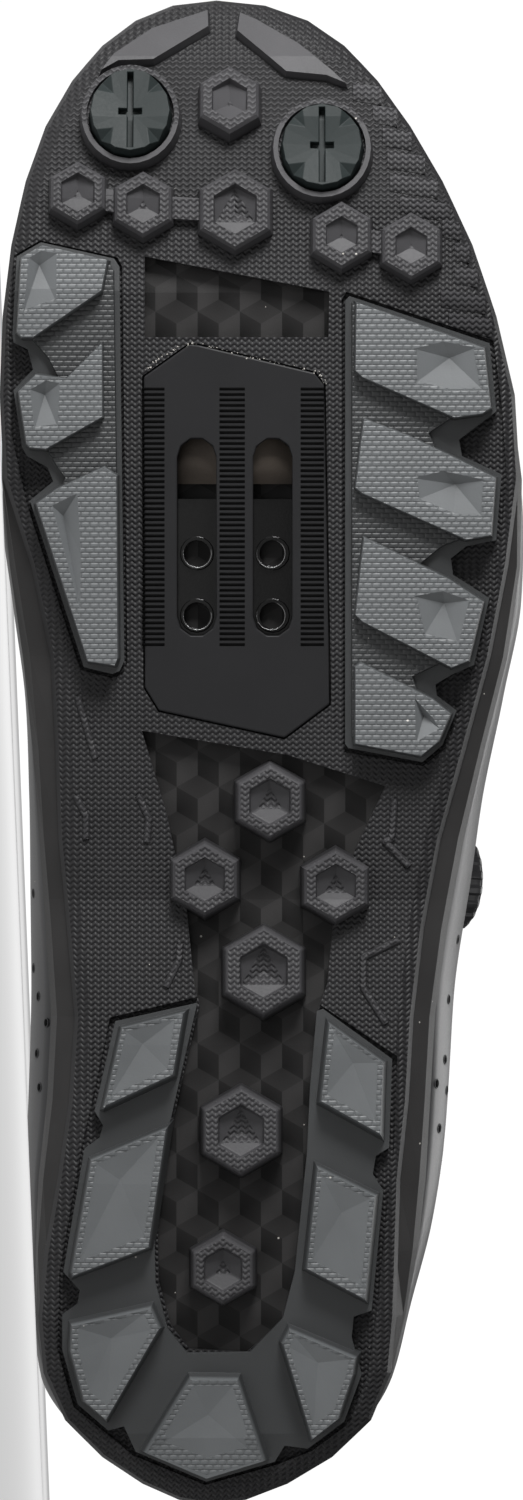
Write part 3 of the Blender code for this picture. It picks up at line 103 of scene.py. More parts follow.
PLAN = (
    Plan(0.0000, 0.058, -0.058),
    Plan(0.0067, 0.136, 0.034),
    Plan(0.0267, 0.238, 0.149),
    Plan(0.0533, 0.321, 0.238),
    Plan(0.0800, 0.370, 0.284),
    Plan(0.1333, 0.393, 0.322),
    Plan(0.2000, 0.389, 0.352),
    Plan(0.2667, 0.370, 0.364),
    Plan(0.3333, 0.362, 0.376),
    Plan(0.4000, 0.378, 0.408),
    Plan(0.4667, 0.391, 0.445),
    Plan(0.5333, 0.406, 0.493),
    Plan(0.6000, 0.432, 0.532),
    Plan(0.6667, 0.455, 0.540),
    Plan(0.7000, 0.456, 0.531),
    Plan(0.7667, 0.451, 0.498),
    Plan(0.8333, 0.431, 0.437),
    Plan(0.9000, 0.381, 0.341),
    Plan(0.9500, 0.304, 0.243),
    Plan(0.9800, 0.220, 0.152),
    Plan(0.9933, 0.155, 0.076),
    Plan(1.0000, 0.046, -0.046),
)
PROFILE = (
    Profile(0.000, 0.375, 1.040),
    Profile(0.050, 0.258, 1.020),
    Profile(0.125, 0.229, 1.000),
    Profile(0.214, 0.229, 0.980),
    Profile(0.304, 0.283, 0.980),
    Profile(0.400, 0.400, 0.990),
    Profile(0.490, 0.378, 0.890),
    Profile(0.800, 0.267, 0.620),
    Profile(0.860, 0.345, 0.710),
    Profile(0.910, 0.500, 0.860),
    Profile(0.955, 0.720, 1.080),
    Profile(1.000, 1.080, 1.420),
)
SECTIONS = (
    Section(0.000, 0.045, 0.048, -0.048, 0.810, 0.060, 0.060, 0.35, 0.85, 0.75),
    Section(0.020, 0.052, 0.180, 0.085, 0.806, 0.082, 0.078, 0.35, 0.85, 0.75),
    Section(0.055, 0.080, 0.250, 0.165, 0.785, 0.088, 0.068, 0.35, 0.88, 0.75),
    Section(0.110, 0.130, 0.285, 0.225, 0.735, 0.067, 0.059, 0.42, 0.92, 0.75),
    Section(0.185, 0.205, 0.290, 0.255, 0.685, 0.096, 0.110, 0.46, 0.95, 0.75),
    Section(0.260, 0.280, 0.265, 0.258, 0.700, 0.165, 0.154, 0.46, 0.90, 0.75),
    Section(0.335, 0.345, 0.205, 0.228, 0.830, 0.160, 0.144, 0.46, 0.60, 0.78),
    Section(0.400, 0.400, 0.145, 0.185, 0.970, 0.124, 0.139, 0.42, 0.42, 0.84),
    Section(0.470, 0.465, 0.120, 0.190, 0.920, 0.091, 0.110, 0.38, 0.36, 0.86),
    Section(0.550, 0.535, 0.095, 0.192, 0.835, 0.066, 0.082, 0.36, 0.32, 0.88),
    Section(0.635, 0.600, 0.075, 0.180, 0.745, 0.065, 0.069, 0.38, 0.30, 0.89),
    Section(0.720, 0.652, 0.048, 0.152, 0.680, 0.006, 0.006, 0.40, 0.30, 0.88),
    Section(0.800, 0.678, 0.012, 0.115, 0.655, 0.004, 0.004, 0.42, 0.30, 0.84),
    Section(0.870, 0.687, -0.015, 0.088, 0.645, 0.002, 0.002, 0.44, 0.30, 0.78),
    Section(0.930, 0.691, -0.032, 0.070, 0.640, 0.000, 0.000, 0.46, 0.28, 0.68),
    Section(0.975, 0.693, -0.043, 0.059, 0.638, 0.000, 0.000, 0.48, 0.26, 0.60),
    Section(1.000, 0.694, -0.051, 0.051, 0.637, 0.000, 0.000, 0.50, 0.25, 0.56),
)
LAST_ROW = len(SECTIONS) - 1
ROUND = 2 * LAST_ROW


def fitted(xs: Sequence[float], ys: Sequence[float], x: Array, level_ends: bool = False) -> Array:
    """Read a smooth curve through a table's points, with monotone cubic pieces.

    Args:
        xs: Places of the points, rising.
        ys: Values at the points.
        x: Places to read.
        level_ends: Whether the curve ends level.

    Returns:
        The values at x.
    """
    xs, ys = np.asarray(xs, float), np.asarray(ys, float)
    slopes = np.diff(ys) / np.diff(xs)
    before, after = slopes[:-1], slopes[1:]
    total = np.where(before * after > 0.0, before + after, 1.0)
    inner = np.where(before * after > 0.0, 2.0 * before * after / total, 0.0)
    ends = (0.0, 0.0) if level_ends else (slopes[0], slopes[-1])
    tangents = np.concatenate(([ends[0]], inner, [ends[1]]))
    x = np.clip(x, xs[0], xs[-1])
    k = np.clip(np.searchsorted(xs, x, side="right") - 1, 0, len(xs) - 2)
    step = xs[k + 1] - xs[k]
    u = (x - xs[k]) / step
    low = ys[k] * (1 + 2 * u) * (1 - u) ** 2 + tangents[k] * step * u * (1 - u) ** 2
    return low + ys[k + 1] * u * u * (3 - 2 * u) + tangents[k + 1] * step * u * u * (u - 1)


def smooth(edge_low: float, edge_high: float, x: Array) -> Array:
    """Rise softly from 0 at one edge to 1 at the other."""
    u = np.clip((np.asarray(x, float) - edge_low) / (edge_high - edge_low), 0.0, 1.0)
    return u * u * (3.0 - 2.0 * u)


def bump(x: Array, centre: float, width: float) -> Array:
    """Return a soft hill of height 1 round a centre."""
    return np.exp(-(((np.asarray(x, float) - centre) / width) ** 2))


def unit(vectors: Array) -> Array:
    """Return vectors scaled to length one."""
    return vectors / np.maximum(np.linalg.norm(vectors, axis=-1, keepdims=True), 1e-12)


@dataclass(frozen=True)
class Last:
    """The shoe's form: the sole's plan and rocker, and the upper's outer face."""

    length: float = 0.2800
    ball_width: float = 0.0969
    sole_height: float = 0.0240
    instep_height: float = 0.0960
    feather_inset: float = 0.0012
    wall: float = 0.0020
    lasting_margin: float = 0.0090
    middle_column: float = 240.0
    ball_pixels: float = 519.0

    def spot(self, pixel: Pair) -> Array:
        """Return the plan place (x, y) that a pixel of the photograph shows.

        Args:
            pixel: Column and row in the photograph.

        Returns:
            The place in metres, medial side and toe positive.
        """
        column, row = pixel
        x = (self.middle_column - column) / self.ball_pixels * self.ball_width
        y = (PHOTO_TALL - row) / PHOTO_TALL * self.length
        return np.array([x, y])

    def half_width(self, column: str, at: Array) -> Array:
        """Return how far a named outline stands from the centre line."""
        angles = [math.acos(1.0 - 2.0 * row.at) for row in PLAN]
        turn = np.arccos(np.clip(1.0 - 2.0 * at, -1.0, 1.0))
        return self.ball_width * fitted(angles, [getattr(row, column) for row in PLAN], turn)

    def profile(self, column: str, y: Array) -> Array:
        """Return the height of a column of the profile table, straight between its rows."""
        ats = [row.at for row in PROFILE]
        at = np.asarray(y, float) / self.length
        return self.sole_height * np.interp(at, ats, [getattr(row, column) for row in PROFILE])

    def section(self, name: str, row: Array) -> Array:
        """Read a column of the sections at any row, whole or between two."""
        crosses = name in ("edge_in", "edge_out")
        return fitted(range(len(SECTIONS)), [getattr(s, name) for s in SECTIONS], row, not crosses)

    def feather(self, side: Array, row: Array) -> Array:
        """Return the place on the feather line where a section starts."""
        at = np.clip(self.section("at", row), 0.0, 1.0)
        width = np.where(side > 0, self.half_width("band_in", at), self.half_width("band_out", at))
        turn = np.arccos(np.clip(1.0 - 2.0 * at, -1.0, 1.0))
        y = at * self.length + self.feather_inset * np.cos(turn)
        x = side * (width - self.feather_inset * np.sin(turn))
        return np.stack([x, y, self.profile("feather", y)], axis=-1)

    def edge(self, side: Array, row: Array) -> Array:
        """Return the place on the edge of the opening where a section ends."""
        across = np.where(side > 0, self.section("edge_in", row), self.section("edge_out", row))
        y = self.section("to", row) * self.length
        z = self.section("rim", row) * self.instep_height
        return np.stack([side * across * self.ball_width, y, z], axis=-1)

    def skin(self, side: Array, row: Array, up: Array) -> Array:
        """Return places on the upper's outer face.

        Args:
            side: 1 on the medial side, -1 on the lateral side.
            row: Row of the section table, whole or between two.
            up: 0 at the sole to 1 at the edge of the opening.

        Returns:
            The places, with x, y and z on the last axis.
        """
        side, row, up = np.broadcast_arrays(*(np.asarray(value, float) for value in (side, row, up)))
        start, end = self.feather(side, row), self.edge(side, row)
        depth = np.linalg.norm((end - start)[..., :2], axis=-1)
        tall = (end - start)[..., 2]
        belly = np.where(side > 0, self.section("belly_in", row), self.section("belly_out", row))
        belly = belly * self.ball_width
        rise, lean, crown = (self.section(n, row) for n in ("rise", "lean", "crown"))
        first, second, third = 3 * up * (1 - up) ** 2, 3 * up * up * (1 - up), up ** 3
        along = -first * belly + second * lean * depth + third * depth
        above = first * rise * tall + second * crown * tall + third * tall
        inward = unit(np.concatenate([(end - start)[..., :2], np.zeros(up.shape + (1,))], axis=-1))
        return start + inward * along[..., None] + above[..., None] * np.array([0.0, 0.0, 1.0])

    def turned(self, turn: Array) -> tuple[Array, Array]:
        """Split a place round the shoe, 0 at the heel and LAST_ROW at the toe, into side and row."""
        turn = np.mod(turn, ROUND)
        return np.where(turn <= LAST_ROW, 1.0, -1.0), np.where(turn <= LAST_ROW, turn, ROUND - turn)

    def round_skin(self, turn: Array, up: Array) -> Array:
        """Return places on the outer face by how far round the shoe they lie."""
        return self.skin(*self.turned(turn), up)

    def round_normal(self, turn: Array, up: Array) -> Array:
        """Return the outward direction of the outer face."""
        small = 0.02
        turn, up = np.broadcast_arrays(np.asarray(turn, float), np.asarray(up, float))
        low, high = np.clip(up - small, 0.0, 1.0), np.clip(up + small, 0.0, 1.0)
        along = self.round_skin(turn + small, up) - self.round_skin(turn - small, up)
        rising = self.round_skin(turn, high) - self.round_skin(turn, low)
        return unit(np.cross(along, rising))

    def side_skin(self, side: int, row: Array, up: Array, lift: float = 0.0) -> Array:
        """Return places on one side's outer face, lifted off it."""
        turn = np.asarray(row, float) if side > 0 else ROUND - np.asarray(row, float)
        return self.round_skin(turn, up) + self.round_normal(turn, up) * lift


@dataclass(frozen=True)
class ShoePose:
    """Where the shoe's own frame lies, read from the cleat face that the record gives."""

    last: Last
    slot_centre: Pair = (235.0, 542.0)
    plate_proud: float = 0.0004
    ball_at: float = 0.490
    toe_at: float = 0.800

    def matrix(self) -> Matrix:
        """Return the transform from the shoe's frame to the lying shoe."""
        mount = next(m for m in frame["record"]["mounts"] if m["name"] == "cleat_face")
        rows = {row.at: row for row in PROFILE}
        fall = (rows[self.toe_at].base - rows[self.ball_at].base) * self.last.sole_height
        slope = fall / ((self.toe_at - self.ball_at) * self.last.length)
        face = Vector((0.0, slope, -1.0)).normalized()
        axis = Vector(mount["axis"]).normalized()
        lead = math.atan2(axis.z, axis.x)
        swing = math.acos(face.y / math.hypot(axis.x, axis.z))
        toes = [Vector((math.cos(a), 0.0, math.sin(a))) for a in (lead + swing, lead - swing)]
        toe = min(toes, key=lambda t: t.x)
        up = (axis - toe * face.y) / face.z
        side = toe.cross(up)
        turn = Matrix((side, toe, up)).transposed()
        x, y = self.last.spot(self.slot_centre)
        z = float(self.last.profile("base", y)) - self.plate_proud
        shift = Vector(mount["pos_m"]) - turn @ Vector((x, y, z))
        return Matrix.Translation(shift) @ turn.to_4x4()


@dataclass
class Sight:
    """Finds the place on the upper's outside that a pixel of the photograph shows."""

    last: Last
    eye: tuple[float, float, float] = EYE
    focal: float = LENS / SENSOR * PHOTO_TALL
    centre: Pair = (261.5, PHOTO_TALL / 2.0)
    turns: Array = field(default_factory=lambda: np.linspace(0.0, ROUND, 1300))
    ups: Array = field(default_factory=lambda: np.linspace(0.02, 0.55, 90))

    def __post_init__(self) -> None:
        """Lay out the places that may be seen and where each shows."""
        turn, up = np.meshgrid(self.turns, self.ups, indexing="ij")
        self.turn, self.up = turn.ravel(), up.ravel()
        spots = self.last.round_skin(self.turn, self.up)
        hidden = self.last.round_normal(self.turn, self.up)[:, 2] > 0.02
        depth = spots[:, 2] - self.eye[2]
        self.column = self.centre[0] - self.focal * (spots[:, 0] - self.eye[0]) / depth
        self.row = self.centre[1] - self.focal * (spots[:, 1] - self.eye[1]) / depth
        self.far = np.where(hidden, 1e6, 0.0)

    def seen(self, pixel: Pair) -> tuple[float, float]:
        """Return the turn and up that a pixel shows."""
        miss = (self.column - pixel[0]) ** 2 + (self.row - pixel[1]) ** 2 + self.far
        best = int(np.argmin(miss))
        return float(self.turn[best]), float(self.up[best])


@dataclass
class Graph:
    """Adds nodes to a material's or a group's tree."""

    tree: bpy.types.NodeTree

    def node(self, kind: str, **settings: object) -> bpy.types.Node:
        """Add a node and set its plain properties."""
        made = self.tree.nodes.new(kind)
        for name, value in settings.items():
            setattr(made, name, value)
        return made

    def feed(self, socket: bpy.types.NodeSocket, value: object) -> None:
        """Link a socket, or set its own value where value is a constant."""
        if isinstance(value, bpy.types.NodeSocket):
            self.tree.links.new(value, socket)
        elif value is not None:
            socket.default_value = value

    def math(self, operation: str, *values: object, clamp: bool = False) -> bpy.types.NodeSocket:
        """Add a math node and return its result."""
        made = self.node("ShaderNodeMath", operation=operation, use_clamp=clamp)
        for socket, value in zip(made.inputs, values):
            self.feed(socket, value)
        return made.outputs[0]

    def vector(self, operation: str, *values: object, out: int = 0) -> bpy.types.NodeSocket:
        """Add a vector math node and return one of its results."""
        made = self.node("ShaderNodeVectorMath", operation=operation)
        for socket, value in zip(made.inputs, values):
            self.feed(socket, value)
        return made.outputs[out]

    def mix(self, share: object, low: object, high: object) -> bpy.types.NodeSocket:
        """Blend two colours."""
        made = self.node("ShaderNodeMix", data_type="RGBA")
        self.feed(made.inputs[0], share)
        self.feed(made.inputs[6], low)
        self.feed(made.inputs[7], high)
        return made.outputs[2]

    def split(self, value: object) -> list[bpy.types.NodeSocket]:
        """Return the x, y and z of a vector."""
        made = self.node("ShaderNodeSeparateXYZ")
        self.feed(made.inputs[0], value)
        return list(made.outputs)

    def join(self, x: object, y: object, z: object) -> bpy.types.NodeSocket:
        """Return a vector of three values."""
        made = self.node("ShaderNodeCombineXYZ")
        for socket, value in zip(made.inputs, (x, y, z)):
            self.feed(socket, value)
        return made.outputs[0]

    def noise(self, place: object, scale: float, detail: float = 3.0) -> bpy.types.NodeSocket:
        """Return a noise value at a place."""
        made = self.node("ShaderNodeTexNoise")
        made.inputs["Scale"].default_value = scale
        made.inputs["Detail"].default_value = detail
        self.feed(made.inputs["Vector"], place)
        return made.outputs[0]

    def ramp(self, value: object, low: float, high: float) -> bpy.types.NodeSocket:
        """Rise from 0 to 1 between two values."""
        made = self.node("ShaderNodeMapRange", interpolation_type="SMOOTHSTEP")
        self.feed(made.inputs[0], value)
        made.inputs[1].default_value = low
        made.inputs[2].default_value = high
        return made.outputs[0]

    def near(self, value: object, centre: float, reach: float) -> bpy.types.NodeSocket:
        """Return 1 where a value lies within reach of a centre, else 0."""
        return self.math("COMPARE", value, centre, reach)


class Pattern(Enum):
    """A fine pattern that a material can carry."""

    PLAIN = "plain"
    ZIGZAG = "zigzag"
    BRICK = "brick"
    CUBES = "cubes"
    TWILL = "twill"
    KNIT = "knit"


@dataclass
class Effects:
    """Shader node groups that several finishes share, each built once.

    Their vectors are millimetres in the shoe's own frame or on a piece's own surface.
    """

    last: Last
    made: dict[str, bpy.types.NodeTree] = field(default_factory=dict)

    def group(
        self, name: str, inputs: dict[str, float], outputs: Sequence[str], fill: Callable
    ) -> bpy.types.NodeTree:
        """Build a group once.

        Args:
            name: The group's name.
            inputs: Its value inputs with their defaults; a vector input Place comes first.
            outputs: Names of its value outputs.
            fill: Function of a graph and the input sockets that returns the output sockets.

        Returns:
            The node group.
        """
        if name in self.made:
            return self.made[name]
        tree = bpy.data.node_groups.new(name, "ShaderNodeTree")
        tree.interface.new_socket("Place", in_out="INPUT", socket_type="NodeSocketVector")
        for key, value in inputs.items():
            socket = tree.interface.new_socket(key, in_out="INPUT", socket_type="NodeSocketFloat")
            socket.default_value = value
        for key in outputs:
            tree.interface.new_socket(key, in_out="OUTPUT", socket_type="NodeSocketFloat")
        graph = Graph(tree)
        source, sink = graph.node("NodeGroupInput"), graph.node("NodeGroupOutput")
        results = fill(graph, {socket.name: socket for socket in source.outputs})
        for socket, value in zip(sink.inputs, results):
            graph.feed(socket, value)
        self.made[name] = tree
        return tree

    def zigzag(self) -> bpy.types.NodeTree:
        """Fine zigzag ribs of a rubber tread, running across the shoe."""

        def fill(g: Graph, i: dict) -> list:
            x, y, _ = g.split(i["Place"])
            turn = g.math("MULTIPLY", g.math("DIVIDE", x, i["Wave"]), math.tau)
            bent = g.math("MULTIPLY_ADD", g.math("SINE", turn), i["Swing"], y)
            phase = g.math("MULTIPLY", g.math("DIVIDE", bent, i["Pitch"]), math.tau)
            rib = g.math("MULTIPLY_ADD", g.math("SINE", phase), 0.5, 0.5)
            return [g.math("POWER", rib, 0.7)]

        return self.group("Zigzag ribs", {"Wave": 1.35, "Swing": 0.22, "Pitch": 1.02}, ["Height"], fill)

    def brick(self) -> bpy.types.NodeTree:
        """Small round-ended bricks in offset rows, as on the grey lugs."""

        def fill(g: Graph, i: dict) -> list:
            x, y, _ = g.split(i["Place"])
            line = g.math("DIVIDE", y, i["Row"])
            course = g.math("FLOOR", line)
            shift = g.math("MULTIPLY", g.math("FLOORED_MODULO", course, 2.0), 0.5)
            column = g.math("ADD", g.math("DIVIDE", x, i["Brick"]), shift)
            across = g.math("ABSOLUTE", g.math("SUBTRACT", g.math("FRACT", column), 0.5))
            along = g.math("ABSOLUTE", g.math("SUBTRACT", g.math("FRACT", line), 0.5))
            dome = g.math("SUBTRACT", 1.0, g.math("POWER", g.math("MULTIPLY", across, 2.0), 4.0))
            arch = g.math("SUBTRACT", 1.0, g.math("POWER", g.math("MULTIPLY", along, 2.0), 3.0))
            return [g.math("MULTIPLY", dome, arch)]

        return self.group("Brick weave", {"Brick": 1.62, "Row": 0.93}, ["Height"], fill)

    def cubes(self) -> bpy.types.NodeTree:
        """Tumbling blocks: a tiling of cubes seen at a corner, each side its own tone."""

        def fill(g: Graph, i: dict) -> list:
            wide = g.math("MULTIPLY", i["Size"], math.sqrt(3.0))
            tall = g.math("MULTIPLY", i["Size"], 3.0)
            cell = g.join(wide, tall, 1.0)
            half = g.vector("SCALE", cell)
            half.node.inputs["Scale"].default_value = 0.5
            zero = g.join(0.0, 0.0, 0.0)
            first = g.vector("SUBTRACT", g.vector("WRAP", i["Place"], cell, zero), half)
            moved = g.vector("ADD", i["Place"], half)
            second = g.vector("SUBTRACT", g.vector("WRAP", moved, cell, zero), half)
            flat = g.join(1.0, 1.0, 0.0)
            first, second = g.vector("MULTIPLY", first, flat), g.vector("MULTIPLY", second, flat)
            reaches = [g.vector("LENGTH", offset, out=1) for offset in (first, second)]
            farther = g.math("GREATER_THAN", *reaches)
            chosen = g.node("ShaderNodeMix", data_type="VECTOR")
            g.feed(chosen.inputs[0], farther)
            g.feed(chosen.inputs[4], first)
            g.feed(chosen.inputs[5], second)
            x, y, _ = g.split(chosen.outputs[1])
            angle = g.math("ARCTAN2", y, x)
            turned = g.math("FLOORED_MODULO", g.math("ADD", angle, math.pi * 1.5), math.tau)
            side = g.math("FLOOR", g.math("DIVIDE", turned, math.tau / 3.0))
            reach = g.math("DIVIDE", g.vector("LENGTH", chosen.outputs[1], out=1), i["Size"])
            return [g.math("MULTIPLY_ADD", reach, 0.35, g.math("MULTIPLY", side, 0.38), clamp=True)]

        return self.group("Tumbling blocks", {"Size": 2.9}, ["Tone"], fill)

    def twill(self) -> bpy.types.NodeTree:
        """Fine slanted lines of a coated twill."""

        def fill(g: Graph, i: dict) -> list:
            x, y, _ = g.split(i["Place"])
            slanted = g.math("ADD", x, g.math("MULTIPLY", y, i["Slant"]))
            phase = g.math("MULTIPLY", g.math("DIVIDE", slanted, i["Pitch"]), math.tau)
            line = g.math("MULTIPLY_ADD", g.math("SINE", phase), 0.5, 0.5)
            cross = g.math("MULTIPLY", g.math("DIVIDE", y, i["Pitch"]), math.tau * 0.8)
            knots = g.math("MULTIPLY_ADD", g.math("SINE", cross), 0.18, 0.82)
            return [g.math("MULTIPLY", line, knots)]

        return self.group("Twill lines", {"Slant": 0.6, "Pitch": 0.9}, ["Height"], fill)

    def knit(self) -> bpy.types.NodeTree:
        """Offset rows of small soft loops, as on a knit or mesh textile."""

        def fill(g: Graph, i: dict) -> list:
            x, y, _ = g.split(i["Place"])
            across = g.math("MULTIPLY", g.math("DIVIDE", x, i["Pitch"]), math.pi)
            along = g.math("MULTIPLY", g.math("DIVIDE", y, i["Pitch"]), math.pi)
            warp = g.math("SINE", g.math("ADD", across, along))
            weft = g.math("SINE", g.math("SUBTRACT", across, along))
            loop = g.math("MULTIPLY", warp, weft)
            return [g.math("MULTIPLY_ADD", loop, 0.5, 0.5)]

        return self.group("Knit loops", {"Pitch": 1.1}, ["Height"], fill)

    def wear(self) -> bpy.types.NodeTree:
        """Uneven tone, fine grain and sparse pale specks of dust."""

        def fill(g: Graph, i: dict) -> list:
            tone = g.noise(i["Place"], 0.09, 4.0)
            grain = g.noise(i["Place"], 2.6, 2.0)
            spots = g.node("ShaderNodeTexVoronoi", feature="F1")
            spots.inputs["Scale"].default_value = 0.42
            g.feed(spots.inputs["Vector"], i["Place"])
            pick = g.split(spots.outputs["Color"])[0]
            chosen = g.math("LESS_THAN", pick, i["Specks"])
            size = g.math("MULTIPLY", g.noise(i["Place"], 0.9, 1.0), 0.13)
            dot = g.math("LESS_THAN", spots.outputs["Distance"], size)
            return [tone, grain, g.math("MULTIPLY", chosen, dot)]

        return self.group("Tone, grain and dust", {"Specks": 0.1}, ["Tone", "Grain", "Speck"], fill)

    def tread_height(self) -> bpy.types.NodeTree:
        """Height of a place over the tread's rocker, with lug tips below zero."""

        def fill(g: Graph, i: dict) -> list:
            _, y, z = g.split(i["Place"])
            tallest = max(row.base for row in PROFILE)
            scale = tallest * self.last.sole_height / MM

            def base(shift: float) -> bpy.types.NodeSocket:
                made = g.node("ShaderNodeValToRGB")
                g.feed(made.inputs[0], g.math("DIVIDE", g.math("ADD", y, shift), self.last.length / MM))
                stops = made.color_ramp.elements
                for row in PROFILE[1:-1]:
                    stops.new(row.at)
                for stop, row in zip(stops, PROFILE):
                    stop.position = row.at
                    stop.color = (row.base / tallest,) * 3 + (1.0,)
                return g.math("MULTIPLY", made.outputs[0], scale)

            slope = g.math("SUBTRACT", base(0.5), base(-0.5))
            return [g.math("SUBTRACT", z, base(0.0)), slope]

        return self.group("Height over tread", {}, ["Height", "Slope"], fill)


@dataclass(frozen=True)
class Finish:
    """One material of the shoe. Lengths are in millimetres."""

    name: str
    colour: Colour
    roughness: float
    pattern: Pattern = Pattern.PLAIN
    relief: float = 0.0
    # Painted shade: how much the pattern darkens its low places in the colour; for the cubes pattern the same
    # darkening gives the print's own tones.
    painted_shade_and_print: float = 0.0
    pattern_values: tuple[tuple[str, float], ...] = ()
    levels: tuple[float, ...] = ()
    skipped: tuple[float, float] | None = None
    facing: float = 0.95
    across: Pair | None = None
    # Painted shade: heights where the darkening towards groove floors starts and ends, and the darkest share
    # of the tone.
    groove_shade: tuple[float, float, float] | None = None
    mottle: float = 0.25
    grain: float = 0.012
    specks: float = 0.03
    dust: Colour = (0.42, 0.40, 0.37)
    metallic: float = 0.0
    sheen: float = 0.0
    specular: float = 0.5
    own_map: tuple[float, float] | None = None
    second: Colour | None = None
    second_roughness: float | None = None

    def place(self, graph: Graph, pose: Matrix) -> bpy.types.NodeSocket:
        """Return the place in millimetres, in the shoe's frame or on the piece's own map."""
        coordinates = graph.node("ShaderNodeTexCoord")
        mapping = graph.node("ShaderNodeMapping", vector_type="POINT")
        if self.own_map:
            graph.feed(mapping.inputs["Vector"], coordinates.outputs["UV"])
            mapping.inputs["Scale"].default_value = (*self.own_map, 1.0)
            return mapping.outputs[0]
        back = pose.inverted()
        graph.feed(mapping.inputs["Vector"], coordinates.outputs["Object"])
        mapping.inputs["Location"].default_value = back.translation
        mapping.inputs["Rotation"].default_value = back.to_euler()
        scaled = graph.vector("SCALE", mapping.outputs[0])
        scaled.node.inputs["Scale"].default_value = 1.0 / MM
        return scaled

    def mask(self, graph: Graph, effects: Effects, place: bpy.types.NodeSocket, pose: Matrix) -> object:
        """Return where the pattern shows: faces along the tread's rocker, at the named heights."""
        if self.own_map or self.pattern in (Pattern.PLAIN, Pattern.TWILL, Pattern.KNIT):
            return 1.0
        over = graph.node("ShaderNodeGroup", node_tree=effects.tread_height())
        graph.feed(over.inputs["Place"], place)
        slope = over.outputs["Slope"]
        normal = graph.node("ShaderNodeNewGeometry").outputs["True Normal"]
        turn = pose.to_3x3()
        ahead = graph.vector("DOT_PRODUCT", normal, tuple(turn @ Vector((0.0, 1.0, 0.0))), out=1)
        rising = graph.vector("DOT_PRODUCT", normal, tuple(turn @ Vector((0.0, 0.0, 1.0))), out=1)
        steep = graph.math("SQRT", graph.math("MULTIPLY_ADD", slope, slope, 1.0))
        leaned = graph.math("SUBTRACT", graph.math("MULTIPLY", ahead, slope), rising)
        shown = graph.math("GREATER_THAN", graph.math("DIVIDE", leaned, steep), self.facing)
        if self.levels:
            at_level = 0.0
            for level in self.levels:
                at_level = graph.math("MAXIMUM", at_level, graph.near(over.outputs[0], level, LEVEL_REACH))
            shown = graph.math("MULTIPLY", shown, at_level)
        if self.skipped:
            low, high = self.skipped
            hidden = graph.near(over.outputs[0], (low + high) / 2.0, (high - low) / 2.0)
            shown = graph.math("MULTIPLY", shown, graph.math("SUBTRACT", 1.0, hidden))
        if self.across:
            low, high = self.across
            x = graph.split(place)[0]
            shown = graph.math("MULTIPLY", shown, graph.near(x, (low + high) / 2.0, (high - low) / 2.0))
        return shown

    def shade_grooves(self, graph: Graph, effects: Effects, place: bpy.types.NodeSocket, lit: object) -> object:
        """Paint shade into the tone, darker towards the floor of the grooves between lugs, where shadow
        falls.
        """
        if not self.groove_shade:
            return lit
        low, high, share = self.groove_shade
        over = graph.node("ShaderNodeGroup", node_tree=effects.tread_height())
        graph.feed(over.inputs["Place"], place)
        depth = graph.ramp(over.outputs[0], low, high)
        return graph.math("MULTIPLY", lit, graph.math("MULTIPLY_ADD", depth, share - 1.0, 1.0))

    def drawn(self, graph: Graph, effects: Effects, place: bpy.types.NodeSocket) -> object:
        """Return the pattern's own value, from 0 to 1."""
        builders = {
            Pattern.ZIGZAG: effects.zigzag,
            Pattern.BRICK: effects.brick,
            Pattern.CUBES: effects.cubes,
            Pattern.TWILL: effects.twill,
            Pattern.KNIT: effects.knit,
        }
        if self.pattern not in builders:
            return 1.0
        made = graph.node("ShaderNodeGroup", node_tree=builders[self.pattern]())
        graph.feed(made.inputs["Place"], place)
        for name, value in self.pattern_values:
            made.inputs[name].default_value = value
        return made.outputs[0]

    def material(self, effects: Effects, pose: Matrix) -> bpy.types.Material:
        """Build the material.

        Args:
            effects: The shared node groups.
            pose: The transform from the shoe's frame to the lying shoe.

        Returns:
            The material, with its pattern, grain and dust, and painted shade in the pattern's low places and
            towards groove floors.
        """
        made = bpy.data.materials.new(self.name)
        made.use_nodes = True
        graph = Graph(made.node_tree)
        shader = made.node_tree.nodes["Principled BSDF"]
        place = self.place(graph, pose)
        wear = graph.node("ShaderNodeGroup", node_tree=effects.wear())
        graph.feed(wear.inputs["Place"], place)
        wear.inputs["Specks"].default_value = self.specks
        mask = self.mask(graph, effects, place, pose)
        drawn = self.drawn(graph, effects, place)
        base: object = (*self.colour, 1.0)
        rough = self.roughness
        if self.second:
            panel = graph.node("ShaderNodeAttribute", attribute_name="panel")
            share = graph.ramp(panel.outputs["Fac"], 0.4, 0.6)
            base = graph.mix(share, (*self.colour, 1.0), (*self.second, 1.0))
            if self.second_roughness is not None:
                change = graph.math("MULTIPLY", share, self.second_roughness - self.roughness)
                rough = graph.math("ADD", self.roughness, change)
            mask = graph.math("MULTIPLY", mask, graph.math("SUBTRACT", 1.0, share))
        tone = graph.math("MULTIPLY_ADD", wear.outputs["Tone"], 2.0 * self.mottle, 1.0 - self.mottle)
        # Painted shade in the colour: darker in each relief pattern's low places, and the print's own tones
        # for the cubes pattern.
        missing = graph.math("SUBTRACT", 1.0, drawn)
        lost = graph.math("MULTIPLY", missing, graph.math("MULTIPLY", mask, self.painted_shade_and_print))
        lit = graph.math("MULTIPLY", tone, graph.math("SUBTRACT", 1.0, lost))
